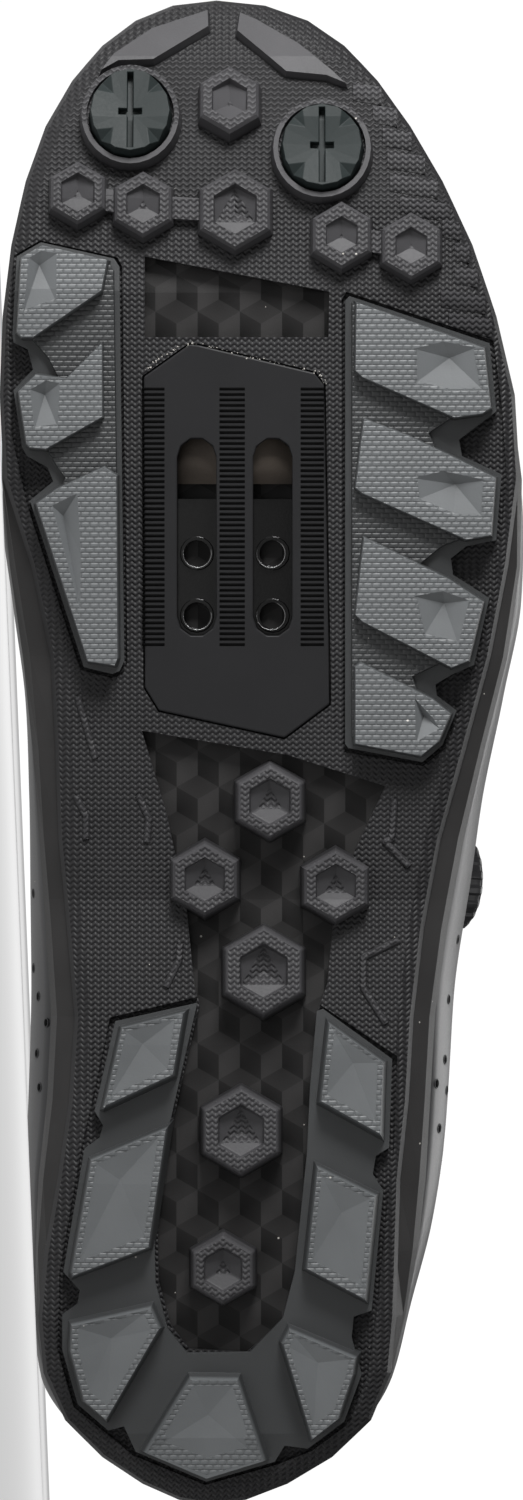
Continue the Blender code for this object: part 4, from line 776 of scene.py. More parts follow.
        # Painted shade, darker towards the groove floors.
        lit = self.shade_grooves(graph, effects, place, lit)
        toned = graph.node("ShaderNodeMix", data_type="RGBA", blend_type="MULTIPLY")
        toned.inputs[0].default_value = 1.0
        graph.feed(toned.inputs[6], base)
        grey = graph.join(lit, lit, lit)
        graph.feed(toned.inputs[7], grey)
        dusted = graph.mix(wear.outputs["Speck"], toned.outputs[2], (*self.dust, 1.0))
        graph.feed(shader.inputs["Base Color"], dusted)
        varied = graph.math("MULTIPLY_ADD", wear.outputs["Grain"], 0.14, -0.07)
        graph.feed(shader.inputs["Roughness"], graph.math("ADD", rough, varied, clamp=True))
        height = graph.math("MULTIPLY", wear.outputs["Grain"], self.grain)
        if self.relief:
            shown = graph.math("MULTIPLY", drawn, graph.math("MULTIPLY", mask, self.relief))
            height = graph.math("ADD", height, shown)
        bumped = graph.node("ShaderNodeBump")
        bumped.inputs["Strength"].default_value = 1.0
        bumped.inputs["Distance"].default_value = MM
        graph.feed(bumped.inputs["Height"], height)
        graph.feed(shader.inputs["Normal"], bumped.outputs[0])
        shader.inputs["Metallic"].default_value = self.metallic
        shader.inputs["Sheen Weight"].default_value = self.sheen
        shader.inputs["Specular IOR Level"].default_value = self.specular
        return made


class Material(Enum):
    """The shoe's finishes, in a maker's words."""

    TREAD = Finish(
        "black tread rubber", (0.050, 0.049, 0.052), 0.50, Pattern.ZIGZAG, relief=0.17, painted_shade_and_print=0.34,
        skipped=(-3.32, -1.68), specks=0.03, grain=0.02, specular=0.22, facing=0.86,
        # painted shade, darker towards the tread floor between ribs, hexes and wings
        groove_shade=(-0.80, -0.02, 0.42),
    )
    LUG = Finish(
        "grey lug rubber", (0.104, 0.110, 0.114), 0.48, Pattern.BRICK, relief=0.12, painted_shade_and_print=0.26,
        # painted shade, darker towards the channel floors of the lug blocks
        levels=(-5.2, -2.4), mottle=0.18, specks=0.05, grain=0.015, groove_shade=(-4.6, -2.7, 0.30),
    )
    PLATE = Finish(
        "nylon sole plate", (0.030, 0.029, 0.029), 0.46, Pattern.CUBES, painted_shade_and_print=0.88,
        mottle=0.3, specks=0.05, grain=0.02, across=(-27.5, 19.0), pattern_values=(("Size", 4.5),),
        specular=0.16,
    )
    CLEAT_PLATE = Finish(
        "cleat plate nylon", (0.015, 0.015, 0.016), 0.48,
        mottle=0.15, grain=0.006, specks=0.02, specular=0.18,
    )
    STEEL = Finish("black steel nut", (0.003, 0.003, 0.003), 0.12, specular=0.30, grain=0.003, specks=0.0)
    STUD = Finish(
        "grey green stud nylon", (0.013, 0.018, 0.018), 0.55,
        mottle=0.2, grain=0.01, specks=0.02, specular=0.22,
    )
    UPPER = Finish(
        "coated upper fabric", (0.050, 0.050, 0.053), 0.60, Pattern.TWILL, relief=0.10, painted_shade_and_print=0.30,
        own_map=(640.0, 120.0), second=(0.026, 0.026, 0.028), second_roughness=0.40, mottle=0.2, sheen=0.15,
        pattern_values=(("Slant", 0.7), ("Pitch", 1.0)), specks=0.02,
    )
    TONGUE = Finish(
        "tongue textile", (0.034, 0.034, 0.036), 0.80, Pattern.KNIT, relief=0.14, painted_shade_and_print=0.40,
        own_map=(120.0, 110.0), pattern_values=(("Pitch", 1.3),), sheen=0.3, specks=0.0,
    )
    INSOLE = Finish(
        "insole textile", (0.090, 0.090, 0.095), 0.88, Pattern.TWILL, relief=0.05, painted_shade_and_print=0.25,
        pattern_values=(("Slant", 0.5), ("Pitch", 0.8)), sheen=0.2, specks=0.0,
    )
    DIAL = Finish("moulded dial plastic", (0.030, 0.030, 0.032), 0.38, mottle=0.1, grain=0.01, specks=0.01)
    GUIDE = Finish("lace guide plastic", (0.026, 0.026, 0.028), 0.40, mottle=0.1, grain=0.008, specks=0.0)
    LACE = Finish(
        "woven lace", (0.050, 0.050, 0.053), 0.55, Pattern.KNIT, relief=0.06, painted_shade_and_print=0.5,
        own_map=(60.0, 5.0), pattern_values=(("Pitch", 0.7),), specks=0.0,
    )
    CEMENT = Finish("pale cement specks", (0.42, 0.40, 0.37), 0.8, grain=0.0, specks=0.0)
    RIM = Finish("bare steel rims", (0.20, 0.20, 0.20), 0.25, metallic=1.0, grain=0.0, specks=0.0)
    # Near-black painted shade of the scale's engraved grooves, laid on as thin bars.
    MARK = Finish("dark scale marks", (0.002, 0.002, 0.002), 0.90, grain=0.0, specks=0.0, specular=0.05)
    # Near-black painted shade standing in for the open vent holes.
    HOLE = Finish("dark holes", (0.003, 0.003, 0.003), 0.90, grain=0.0, specks=0.0, specular=0.1)
    THREAD = Finish("sewing thread", (0.085, 0.085, 0.090), 0.60, grain=0.0, specks=0.0, sheen=0.2)
    BOARD = Finish("brown insole board", (0.060, 0.048, 0.038), 0.85, grain=0.04, mottle=0.5, specks=0.0)


def laid_grid(columns: int, rows: int, place: Callable, panel: Callable | None = None) -> bmesh.types.BMesh:
    """Lay a grid over a surface and close its seams.

    Args:
        columns: Faces along u.
        rows: Faces along v.
        place: Function of two arrays u and v, from 0 to 1, that returns places.
        panel: Function of u and v that returns how far a second finish covers the surface.

    Returns:
        The mesh, with a UV map of u and v and an attribute named panel.
    """
    bm = bmesh.new()
    bm.loops.layers.uv.new("UVMap")
    layer = bm.verts.layers.float.new("panel")
    bmesh.ops.create_grid(bm, x_segments=columns, y_segments=rows, size=0.5, calc_uvs=True)
    flat = np.array([vert.co[:2] for vert in bm.verts]) + 0.5
    places = place(flat[:, 0], flat[:, 1])
    shares = panel(flat[:, 0], flat[:, 1]) if panel else np.zeros(len(flat))
    for vert, spot, share in zip(bm.verts, places, shares):
        vert.co = spot
        vert[layer] = share
    bmesh.ops.remove_doubles(bm, verts=bm.verts, dist=1e-6)
    bmesh.ops.dissolve_degenerate(bm, edges=bm.edges, dist=1e-7)
    bmesh.ops.recalc_face_normals(bm, faces=bm.faces)
    return bm


def through(points: Array, u: Array) -> Array:
    """Return places on a smooth curve through points, u from 0 to 1.

    Args:
        points: Points on the first axis; any shape after it.
        u: Where on the curve.

    Returns:
        The places, one for each u.
    """
    points = np.asarray(points, float)
    ends = np.concatenate([[2 * points[0] - points[1]], points, [2 * points[-1] - points[-2]]])
    along = np.clip(u, 0.0, 1.0) * (len(points) - 1)
    k = np.minimum(along.astype(int), len(points) - 2)
    t = (along - k).reshape((-1,) + (1,) * (points.ndim - 1))
    a, b, c, d = ends[k], ends[k + 1], ends[k + 2], ends[k + 3]
    square = (2 * a - 5 * b + 4 * c - d) * t ** 2
    cube = (3 * b - a - 3 * c + d) * t ** 3
    return 0.5 * (2 * b + (c - a) * t + square + cube)


def tube_mesh(
    points: Array, radius: float, steps: int, sides: int = 12, flat: float = 1.0
) -> bmesh.types.BMesh:
    """Make a tube along a smooth curve, with closed rounded ends.

    Args:
        points: Points that the tube follows.
        radius: Its radius.
        steps: Faces along it.
        sides: Faces round it.
        flat: Its thickness as a share of its width.

    Returns:
        The mesh.
    """

    def place(u: Array, v: Array) -> Array:
        centre = through(points, u)
        ahead, behind = through(points, np.minimum(u + 0.01, 1.0)), through(points, np.maximum(u - 0.01, 0.0))
        tangent = unit(ahead - behind)
        across = unit(np.cross(tangent, np.array([0.0, 0.0, 1.0])))
        over = np.cross(across, tangent)
        end = np.clip(np.minimum(u, 1.0 - u) * steps / 2.0, 0.0, 1.0)
        size = radius * np.sqrt(1.0 - (1.0 - end) ** 2)
        angle = v * math.tau
        offset = across * (np.cos(angle) * size)[:, None] + over * (np.sin(angle) * size * flat)[:, None]
        return centre + offset

    return laid_grid(steps, sides, place)


def framed(spot: Array, along: Array, normal: Array, size: Sequence[float]) -> Matrix:
    """Return the transform that lays a unit form on a surface.

    Args:
        spot: Where its centre goes.
        along: Direction of its length.
        normal: Direction out of the surface.
        size: Its length, width and height.

    Returns:
        The transform.
    """
    out = Vector(normal).normalized()
    ahead = Vector(along)
    ahead = (ahead - out * ahead.dot(out)).normalized()
    side = out.cross(ahead)
    turn = Matrix((ahead, side, out)).transposed().to_4x4()
    return Matrix.Translation(Vector(spot)) @ turn @ Matrix.Diagonal((*size, 1.0))


def bead_form(round_faces: int = 8) -> bpy.types.Mesh:
    """Return a unit bead, to be stamped many times."""
    bm = bmesh.new()
    bmesh.ops.create_uvsphere(bm, u_segments=round_faces, v_segments=5, radius=0.5)
    mesh = bpy.data.meshes.new("bead_form")
    bm.to_mesh(mesh)
    bm.free()
    return mesh


def stamp(bm: bmesh.types.BMesh, form: bpy.types.Mesh, matrices: Iterable[Matrix]) -> None:
    """Add a copy of a form to a mesh at each transform."""
    for matrix in matrices:
        copy = form.copy()
        copy.transform(matrix)
        bm.from_mesh(copy)
        bpy.data.meshes.remove(copy)


def bead_row(
    bm: bmesh.types.BMesh, spots: Array, normals: Array, pitch: float, size: Sequence[float]
) -> None:
    """Lay small oval beads along a path, as a row of stitches.

    Args:
        bm: The mesh that takes them.
        spots: Places along the path.
        normals: Outward directions there.
        pitch: Metres from bead to bead.
        size: Each bead's length, width and height.
    """
    steps = np.linalg.norm(np.diff(spots, axis=0), axis=-1)
    travelled = np.concatenate([[0.0], np.cumsum(steps)])
    matrices = []
    for number in range(int(travelled[-1] / pitch)):
        at = (number + 0.5) * pitch
        spot = np.array([np.interp(at, travelled, spots[:, k]) for k in range(3)])
        ahead = np.array([np.interp(at + pitch / 2.0, travelled, spots[:, k]) for k in range(3)]) - spot
        normal = np.array([np.interp(at, travelled, normals[:, k]) for k in range(3)])
        matrices.append(framed(spot, ahead, normal, size))
    stamp(bm, bead_form(), matrices)


def scattered_specks(
    bm: bmesh.types.BMesh, spots: Array, normals: Array, size: float, seed: int, spread: float
) -> None:
    """Scatter small flat specks beside a path, uneven in size and spacing.

    Args:
        bm: The mesh that takes them.
        spots: Places along the path, one speck for each at most.
        normals: Outward directions there.
        size: The largest speck's width.
        seed: Seed of the scatter.
        spread: How far specks stray from the path.
    """
    luck = np.random.default_rng(seed)
    matrices = []
    for spot, normal in zip(spots, normals):
        if luck.random() > SPECK_SHARE:
            continue
        shift = luck.normal(0.0, spread, 3)
        wide = size * (0.25 + 0.75 * luck.random() ** 2)
        ahead = luck.normal(0.0, 1.0, 3)
        place = spot + shift - normal * np.dot(shift, normal)
        matrices.append(framed(place, ahead, normal, (wide * 1.5, wide, wide * 0.35)))
    stamp(bm, bead_form(5), matrices)


@dataclass
class Workshop:
    """Turns finished meshes into pieces that ride with the shoe."""

    pose: Matrix
    effects: Effects
    stock: dict[Material, bpy.types.Material] = field(default_factory=dict)
    flat_angle: float = math.radians(1.0)
    sharp_angle: float = math.radians(28.0)

    def material(self, kind: Material) -> bpy.types.Material:
        """Return a finish's material, built once."""
        if kind not in self.stock:
            self.stock[kind] = kind.value.material(self.effects, self.pose)
        return self.stock[kind]

    def piece(
        self, name: str, bm: bmesh.types.BMesh, kind: Material, nodes: Sequence[str] = ()
    ) -> bpy.types.Object:
        """Lay a mesh where the shoe lies and make it a piece.

        Args:
            name: The piece's name.
            bm: Its mesh in the shoe's own frame; it is freed.
            kind: Its finish.
            nodes: CAD nodes that it stands for.

        Returns:
            The piece.
        """
        bmesh.ops.transform(bm, matrix=self.pose, verts=bm.verts)
        mesh = bpy.data.meshes.new(name)
        for face in bm.faces:
            face.smooth = True
        bm.to_mesh(mesh)
        bm.free()
        mesh.materials.append(self.material(kind))
        obj = bpy.data.objects.new(name, mesh)
        bpy.context.scene.collection.objects.link(obj)
        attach(obj, BODY)
        if nodes:
            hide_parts(*nodes)
        LOG.info("%s: %d faces", name, len(mesh.polygons))
        return obj

    def dress(self, node: str, kind: Material, edge: float = 0.0, segments: int = 2) -> bpy.types.Object:
        """Give a CAD node its finish and worn edges.

        Args:
            node: The node's name.
            kind: Its finish.
            edge: Width of its rounded edges; 0 leaves them sharp.
            segments: Faces across a rounded edge.

        Returns:
            The node's object.
        """
        obj = frame["nodes"][node]
        obj.data.materials.clear()
        obj.data.materials.append(self.material(kind))
        if edge:
            weld = obj.modifiers.new("joined", "WELD")
            weld.merge_threshold = 1e-5
            flat = obj.modifiers.new("flats", "DECIMATE")
            flat.decimate_type = "DISSOLVE"
            flat.angle_limit = self.flat_angle
            bevel = obj.modifiers.new("edges", "BEVEL")
            bevel.width = edge
            bevel.segments = segments
            bevel.limit_method = "ANGLE"
            bevel.angle_limit = self.sharp_angle
            bevel.use_clamp_overlap = True
            bevel.harden_normals = True
            smooth_normals = obj.modifiers.new("shading", "WEIGHTED_NORMAL")
            smooth_normals.keep_sharp = True
        LOG.info("%s: kept", node)
        return obj


@dataclass
class Sole:
    """The tread, the plate and everything set into them."""

    last: Last
    shop: Workshop
    edge: float = 0.30 * MM
    lug_edge: float = 0.35 * MM
    mark_width: float = 0.5 * MM
    mark_proud: float = 0.05 * MM
    mark_rows: Pair = (396.0, 646.7)
    mark_pitch: float = 5.36
    mark_columns: tuple[Pair, ...] = ((143.5, 165.8), (220.0, 245.0), (300.0, 323.0))
    rim_radius: float = 2.65 * MM
    rim_width: float = 0.35 * MM
    rim_depth: float = 4.35 * MM
    rim_points: int = 41
    rim_pitch: float = 0.25 * MM
    rim_long: float = 0.5 * MM
    rim_high: float = 0.16 * MM
    bolt_columns: Pair = (197.8, 270.8)
    bolt_rows: Pair = (557.5, 619.3)
    board_centre: Pair = (235.0, 457.0)
    board_thick: float = 0.12 * MM
    board_depth: float = 2.65 * MM
    board_wide: float = 23.0 * MM
    board_long: float = 12.0 * MM
    line_radius: float = 0.75 * MM
    line_sink: float = 0.10 * MM
    lines: tuple[tuple[Pair, ...], ...] = (
        ((80.0, 700.0), (97.0, 760.0)),
        ((78.0, 797.0), (88.0, 818.0), (88.0, 840.0)),
        ((140.0, 797.0), (150.0, 820.0), (148.0, 843.0)),
        ((181.0, 943.0), (180.0, 960.0), (167.0, 986.0)),
        ((393.0, 800.0), (390.0, 840.0), (383.6, 843.0), (407.0, 867.0)),
        ((397.0, 940.0), (362.0, 957.0), (362.0, 987.0), (384.0, 1022.0)),
    )
    speck_line: tuple[Pair, ...] = (
        (146.0, 380.0), (160.0, 366.0), (186.0, 353.0), (200.0, 352.0), (255.0, 366.0), (312.0, 378.0),
        (325.0, 390.0),
    )
    speck_steps: int = 120
    speck_size: float = 0.30 * MM
    speck_spread: float = 0.2 * MM
    speck_seed: int = 5
    plate_proud: float = 0.4 * MM

    def dress_nodes(self) -> None:
        """Finish the pieces that keep their CAD meshes."""
        self.shop.dress("outsole", Material.TREAD, self.edge)
        self.shop.dress("sole_plate", Material.PLATE, self.edge)
        self.shop.dress("cleat_plate", Material.CLEAT_PLATE, self.edge)
        self.shop.dress("cleat_nut", Material.STEEL, self.edge / 2.0)
        for node in ("lug_medial", "lug_lateral", "lug_heel"):
            self.shop.dress(node, Material.LUG, self.lug_edge)
        for number in range(1, 5):
            self.shop.dress(f"hex_lug_{number}", Material.TREAD, self.edge)
        for side in ("medial", "lateral"):
            self.shop.dress(f"toe_stud_{side}", Material.STUD, self.edge / 2.0)

    def face_height(self, y: Array) -> Array:
        """Return the height of the cleat plate's own face."""
        return self.last.profile("base", y) - self.plate_proud

    def scale_marks(self) -> bpy.types.Object:
        """Make the setting scale beside the slots: rows of short bars, barely proud, whose near-black colour
        is painted shade standing in for the scale's engraved grooves.
        """
        bm = bmesh.new()
        first, last_row = self.mark_rows
        count = int(round((last_row - first) / self.mark_pitch))
        for number in range(count + 1):
            row = first + number * self.mark_pitch
            for left, right in self.mark_columns:
                ends = [self.last.spot((column, row)) for column in (left, right)]
                x, y = (ends[0] + ends[1]) / 2.0
                wide = abs(ends[0][0] - ends[1][0])
                z = float(self.face_height(np.array(y)))
                size = Matrix.Diagonal((wide, self.mark_width, self.mark_proud * 2.0, 1.0))
                bmesh.ops.create_cube(bm, size=1.0, matrix=Matrix.Translation((x, y, z)) @ size)
        return self.shop.piece("plate_scale", bm, Material.MARK)

    def bolt_rims(self) -> None:
        """Make the bare bright rims of the four threaded holes."""
        bm = bmesh.new()
        ring = np.linspace(0.0, math.tau, self.rim_points)
        outward = np.tile(np.array([0.0, 0.0, -1.0]), (self.rim_points, 1))
        for column in self.bolt_columns:
            for row in self.bolt_rows:
                x, y = self.last.spot((column, row))
                z = float(self.last.profile("base", y)) + self.rim_depth
                across = x + self.rim_radius * np.cos(ring)
                ahead = y + self.rim_radius * np.sin(ring)
                centre = np.stack([across, ahead, np.full(ring.shape, z)], axis=-1)
                bead_row(bm, centre, outward, self.rim_pitch, (self.rim_long, self.rim_width, self.rim_high))
        self.shop.piece("bolt_rims", bm, Material.RIM)

    def board(self) -> None:
        """Make the brown board that shows in the slots above the nut."""
        x, y = self.last.spot(self.board_centre)
        z = float(self.last.profile("base", y)) + self.board_depth
        size = Matrix.Diagonal((self.board_wide, self.board_long, self.board_thick, 1.0))
        bm = bmesh.new()
        bmesh.ops.create_cube(bm, size=1.0, matrix=Matrix.Translation((x, y, z)) @ size)
        self.shop.piece("lasting_board", bm, Material.BOARD)

    def arch_lines(self) -> None:
        """Make the fine raised lines moulded in the arch."""
        for number, line in enumerate(self.lines, start=1):
            spots = np.array([self.last.spot(pixel) for pixel in line])
            heights = self.last.profile("base", spots[:, 1]) + self.line_sink
            points = np.concatenate([spots, heights[:, None]], axis=1)
            keys = [points[0]]
            for a, b in zip(points, points[1:]):
                keys.extend([a + (b - a) * 0.04, a + (b - a) * 0.5, a + (b - a) * 0.96, b])
            bm = tube_mesh(np.array(keys), self.line_radius, 16 * len(line), 10, 0.8)
            self.shop.piece(f"arch_line_{number}", bm, Material.TREAD)

    def plate_specks(self) -> None:
        """Make the pale worn specks along the cleat plate's edge towards the toe."""
        corners = np.array([self.last.spot(pixel) for pixel in self.speck_line])
        path = through(corners, np.linspace(0.0, 1.0, self.speck_steps))
        heights = self.face_height(path[:, 1])
        spots = np.concatenate([path, heights[:, None]], axis=1)
        bm = bmesh.new()
        outward = np.tile(np.array([0.0, 0.0, -1.0]), (self.speck_steps, 1))
        scattered_specks(bm, spots, outward, self.speck_size, self.speck_seed, self.speck_spread)
        self.shop.piece("plate_specks", bm, Material.CEMENT)

    def build(self) -> None:
        """Dress the kept nodes and add the small trim."""
        self.dress_nodes()
        self.scale_marks()
        self.bolt_rims()
        self.board()
        self.arch_lines()
        self.plate_specks()


@dataclass
class UpperShell:
    """The upper: one closed skin, outside, over the collar's edge, inside and under."""

    last: Last
    shop: Workshop
    columns: int = 480
    rows: int = 150
    margin_share: float = 0.05
    wall_share: float = 0.44
    roll_share: float = 0.03
    collar_out: float = 1.3 * MM
    collar_in: float = 4.0 * MM
    rand: float = 0.7 * MM
    counter: float = 0.6 * MM
    stay: float = 0.6 * MM
    saddle: float = 0.5 * MM
    crease: float = 0.5 * MM
    seam_gap: float = 0.022
    stitch_pitch: float = 2.5 * MM
    stitch: tuple[float, float, float] = (1.9 * MM, 0.5 * MM, 0.4 * MM)
    stitch_lift: float = 0.02 * MM
    speck_rows: Pair = (3.5, 12.5)
    speck_up: float = 0.197
    speck_steps: int = 620
    speck_size: float = 0.34 * MM
    speck_spread: float = 0.16 * MM
    speck_seeds: tuple[tuple[int, int], ...] = ((1, 3), (-1, 4))
    vent_radius: float = 0.7 * MM
    vent_lift: float = 0.04 * MM
    vent_thick: float = 0.12 * MM
    vent_rim: float = 0.1 * MM
    vent_points: int = 33
    vent_pitch: float = 0.18 * MM
    vent_bead: tuple[float, float, float] = (0.36 * MM, 0.3 * MM, 0.22 * MM)
    vent_pixels: tuple[Pair, ...] = (
        (37.0, 894.0), (37.0, 969.0), (42.0, 996.0), (34.0, 1021.0), (50.0, 1022.0), (40.0, 1053.0),
        (43.0, 1087.0), (454.0, 938.0), (445.0, 1000.0), (441.5, 1058.0), (433.0, 1084.0), (443.0, 1090.0),
        (435.0, 1129.0),
    )

    def collar(self, row: Array, up: Array) -> Array:
        """Return how much the padded collar fills a place, 0 to 1."""
        return smooth(7.0, 6.2, row) * smooth(0.66, 0.82, up) * smooth(1.03, 0.94, up)

    def toe_cap(self, row: Array, up: Array) -> Array:
        """Return where the toe cap and the rand lie."""
        cap = smooth(0.47, 0.445, up - 0.32 * smooth(12.4, 14.6, row)) * smooth(11.2, 11.7, row)
        strip = smooth(0.205, 0.185, up)
        return np.maximum(cap, strip)

    def heel_counter(self, row: Array, up: Array) -> Array:
        """Return where the heel counter lies."""
        return smooth(0.62, 0.595, up + 0.045 * row) * smooth(5.2, 4.9, row + up)

    def eyestay(self, row: Array, up: Array) -> Array:
        """Return where the facing beside the throat lies."""
        return smooth(0.775, 0.80, up) * smooth(7.0, 7.3, row) * smooth(12.9, 12.4, row)

    def saddle_panel(self, side: Array, row: Array, up: Array) -> Array:
        """Return where the slanted midfoot panel lies, from the feather line to the eyestay."""
        lean = row + 1.5 * up
        return smooth(8.3, 8.45, lean) * smooth(11.4, 11.25, lean) * smooth(0.82, 0.79, up)

    def creases(self, row: Array, up: Array) -> Array:
        """Return the soft flex troughs and ridges across the vamp."""
        folds = 0.0
        for centre, weight in ((10.55, 1.0), (11.35, 0.8), (12.15, 0.5)):
            bent = row + 0.9 * (up - 0.5) * (1.0 if weight == 1.0 else 0.6)
            folds = folds + weight * (0.55 * bump(bent, centre + 0.22, 0.13) - bump(bent, centre, 0.12))
        return folds * smooth(0.30, 0.5, up) * smooth(1.0, 0.86, up)

    def panels(self, turn: Array, up: Array) -> Array:
        """Return how far the smooth overlay panels cover a place."""
        side, row = self.last.turned(turn)
        stack = [self.toe_cap(row, up), self.heel_counter(row, up), self.eyestay(row, up)]
        stack.append(self.saddle_panel(side, row, up))
        return np.clip(np.max(stack, axis=0), 0.0, 1.0)

    def relief(self, turn: Array, up: Array) -> Array:
        """Return how far the finished outside stands off the last."""
        side, row = self.last.turned(turn)
        height = self.rand * self.toe_cap(row, up)
        height = np.maximum(height, self.counter * self.heel_counter(row, up))
        height = np.maximum(height, self.saddle * self.saddle_panel(side, row, up))
        height = np.maximum(height, self.stay * self.eyestay(row, up))
        height = height + self.collar_out * self.collar(row, up)
        height = height + self.crease * self.creases(row, up)
        return height * smooth(0.0, 0.04, up)

    def padding(self, turn: Array, up: Array) -> Array:
        """Return how far the lining stands in from the wall."""
        _, row = self.last.turned(turn)
        return self.collar_in * self.collar(row, up)

    def outside(self, turn: Array, up: Array) -> Array:
        """Return places on the outside."""
        normal = self.last.round_normal(turn, up)
        return self.last.round_skin(turn, up) + normal * self.relief(turn, up)[:, None]

    def inside(self, turn: Array, up: Array) -> Array:
        """Return places on the lining."""
        normal = self.last.round_normal(turn, up)
        depth = self.last.wall + self.padding(turn, up)
        return self.last.round_skin(turn, up) - normal * depth[:, None]

    def inward(self, turn: Array) -> Array:
        """Return the level direction from the feather line to the opening."""
        side, row = self.last.turned(turn)
        reach = (self.last.edge(side, row) - self.last.feather(side, row)) * np.array([1.0, 1.0, 0.0])
        return unit(reach)

    def under(self, turn: Array, reach: Array, lift: float) -> Array:
        """Return places on the lasting margin under the insole."""
        side, row = self.last.turned(turn)
        place = self.last.feather(side, row) + self.inward(turn) * reach[:, None]
        place[:, 2] = self.last.profile("feather", place[:, 1]) + lift
        return place

    def place(self, u: Array, v: Array) -> Array:
        """Carry the grid once round the shoe and once round its wall."""
        turn = u * ROUND
        marks = np.cumsum([0.0, self.margin_share, self.wall_share, self.roll_share, self.wall_share])
        part = np.clip(np.searchsorted(marks, v, side="right") - 1, 0, 4)
        ends = np.append(marks, 1.0)
        t = (v - ends[part]) / (ends[part + 1] - ends[part])
        wall, margin = self.last.wall, self.last.lasting_margin
        first = self.under(turn, margin * (1.0 - t), 0.0)
        second = self.outside(turn, t)
        fourth = self.inside(turn, 1.0 - 0.98 * t)
        fifth = self.under(turn, wall + (margin - wall) * t, wall)
        top = np.ones_like(turn)
        outer, inner = self.outside(turn, top), self.inside(turn, top)
        rising = unit(self.last.round_skin(turn, top) - self.last.round_skin(turn, top - 0.03))
        middle, half = (outer + inner) / 2.0, (outer - inner) / 2.0
        angle = (t * math.pi)[:, None]
        length = np.linalg.norm(half, axis=-1, keepdims=True)
        third = middle + half * np.cos(angle) + rising * length * np.sin(angle)
        whole = np.stack([first, second, third, fourth, fifth])
        return whole[part, np.arange(len(u))]

    def covered(self, u: Array, v: Array) -> Array:
        """Return where the smooth panels lie on the grid."""
        up = (v - self.margin_share) / self.wall_share
        return self.panels(u * ROUND, np.clip(up, 0.0, 1.0)) * (up <= 1.0)

    def shell(self) -> bpy.types.Object:
        """Make the shell itself."""
        bm = laid_grid(self.columns, self.rows, self.place, self.covered)
        return self.shop.piece("upper_shell", bm, Material.UPPER, ["upper"])

    def traced(self, turn: Array, up: Array, lift: float) -> tuple[Array, Array]:
        """Return places a little off the outside along a path, and outward directions."""
        turn, up = np.broadcast_arrays(np.asarray(turn, float), np.asarray(up, float))
        normals = self.last.round_normal(turn, up)
        return self.outside(turn, up) + normals * lift, normals

    def seams(self) -> list[tuple[Array, Array]]:
        """Return the sewn lines beside the panels, as turns and ups."""
        count = 120
        share = np.linspace(0.0, 1.0, count)
        paths = []
        for side in (1, -1):
            for rise in (0.0, self.seam_gap):
                row = 7.15 + 5.1 * share
                paths.append((side, row, np.full(count, 0.812 + rise)))
                row = 0.6 + 3.9 * share
                paths.append((side, row, 0.572 - rise - 0.045 * row))
                up = 0.225 + 0.54 * share
                paths.append((side, 8.62 + rise * 3.0 - 1.5 * up, up))
                paths.append((side, 11.08 - rise * 3.0 - 1.5 * up, up))
                row = 11.85 + 4.15 * share
                paths.append((side, row, 0.425 - rise + 0.32 * smooth(12.4, 14.6, row)))
            row = 6.2 * share
            paths.append((side, row, np.full(count, 0.655)))
        return [(row if side > 0 else ROUND - row, up) for side, row, up in paths]

    def stitches(self) -> None:
        """Sew the panels down."""
        bm = bmesh.new()
        for turn, up in self.seams():
            spots, normals = self.traced(turn, up, self.stitch_lift)
            bead_row(bm, spots, normals, self.stitch_pitch, self.stitch)
        self.shop.piece("upper_stitches", bm, Material.THREAD)

    def rand_specks(self) -> None:
        """Scatter pale specks of cement along the seam between rand and upper."""
        bm = bmesh.new()
        for side, seed in self.speck_seeds:
            row = np.linspace(*self.speck_rows, self.speck_steps)
            turn = row if side > 0 else ROUND - row
            spots, normals = self.traced(turn, np.full(self.speck_steps, self.speck_up), 0.0)
            scattered_specks(bm, spots, normals, self.speck_size, seed, self.speck_spread)
        self.shop.piece("rand_specks", bm, Material.CEMENT)

    def vents(self) -> None:
        """Make the small round vents that the photograph shows low on both sides: thin near-black discs on
        the outside, painted shade standing in for the open holes, each ringed with beads.
        """
        sight = Sight(self.last)
        holes, rims = bmesh.new(), bmesh.new()
        for pixel in self.vent_pixels:
            turn, up = (np.array([value]) for value in sight.seen(pixel))
            spots, normals = self.traced(turn, up, self.vent_lift)
            across = unit(np.cross(normals[0], np.array([0.0, 0.0, 1.0])))
            wide = 2.0 * self.vent_radius
            matrix = framed(spots[0], across, normals[0], (wide, wide, self.vent_thick))
            bmesh.ops.create_cone(
                holes, cap_ends=True, segments=20, radius1=0.5, radius2=0.5, depth=1.0, matrix=matrix
            )
            ring = np.linspace(0.0, math.tau, self.vent_points)
            over = np.cross(normals[0], across)
            circle = across * np.cos(ring)[:, None] + over * np.sin(ring)[:, None]
            centre = spots[0] + circle * (self.vent_radius + self.vent_rim)
            outward = np.tile(normals[0], (self.vent_points, 1))
            bead_row(rims, centre, outward, self.vent_pitch, self.vent_bead)
        # Painted shade: the discs stand in for the open holes.
        self.shop.piece("vent_holes", holes, Material.HOLE)
        self.shop.piece("vent_rims", rims, Material.GUIDE)

    def build(self) -> None:
        """Make the shell and its sewing."""
        self.shell()
        self.stitches()
        self.rand_specks()
        self.vents()


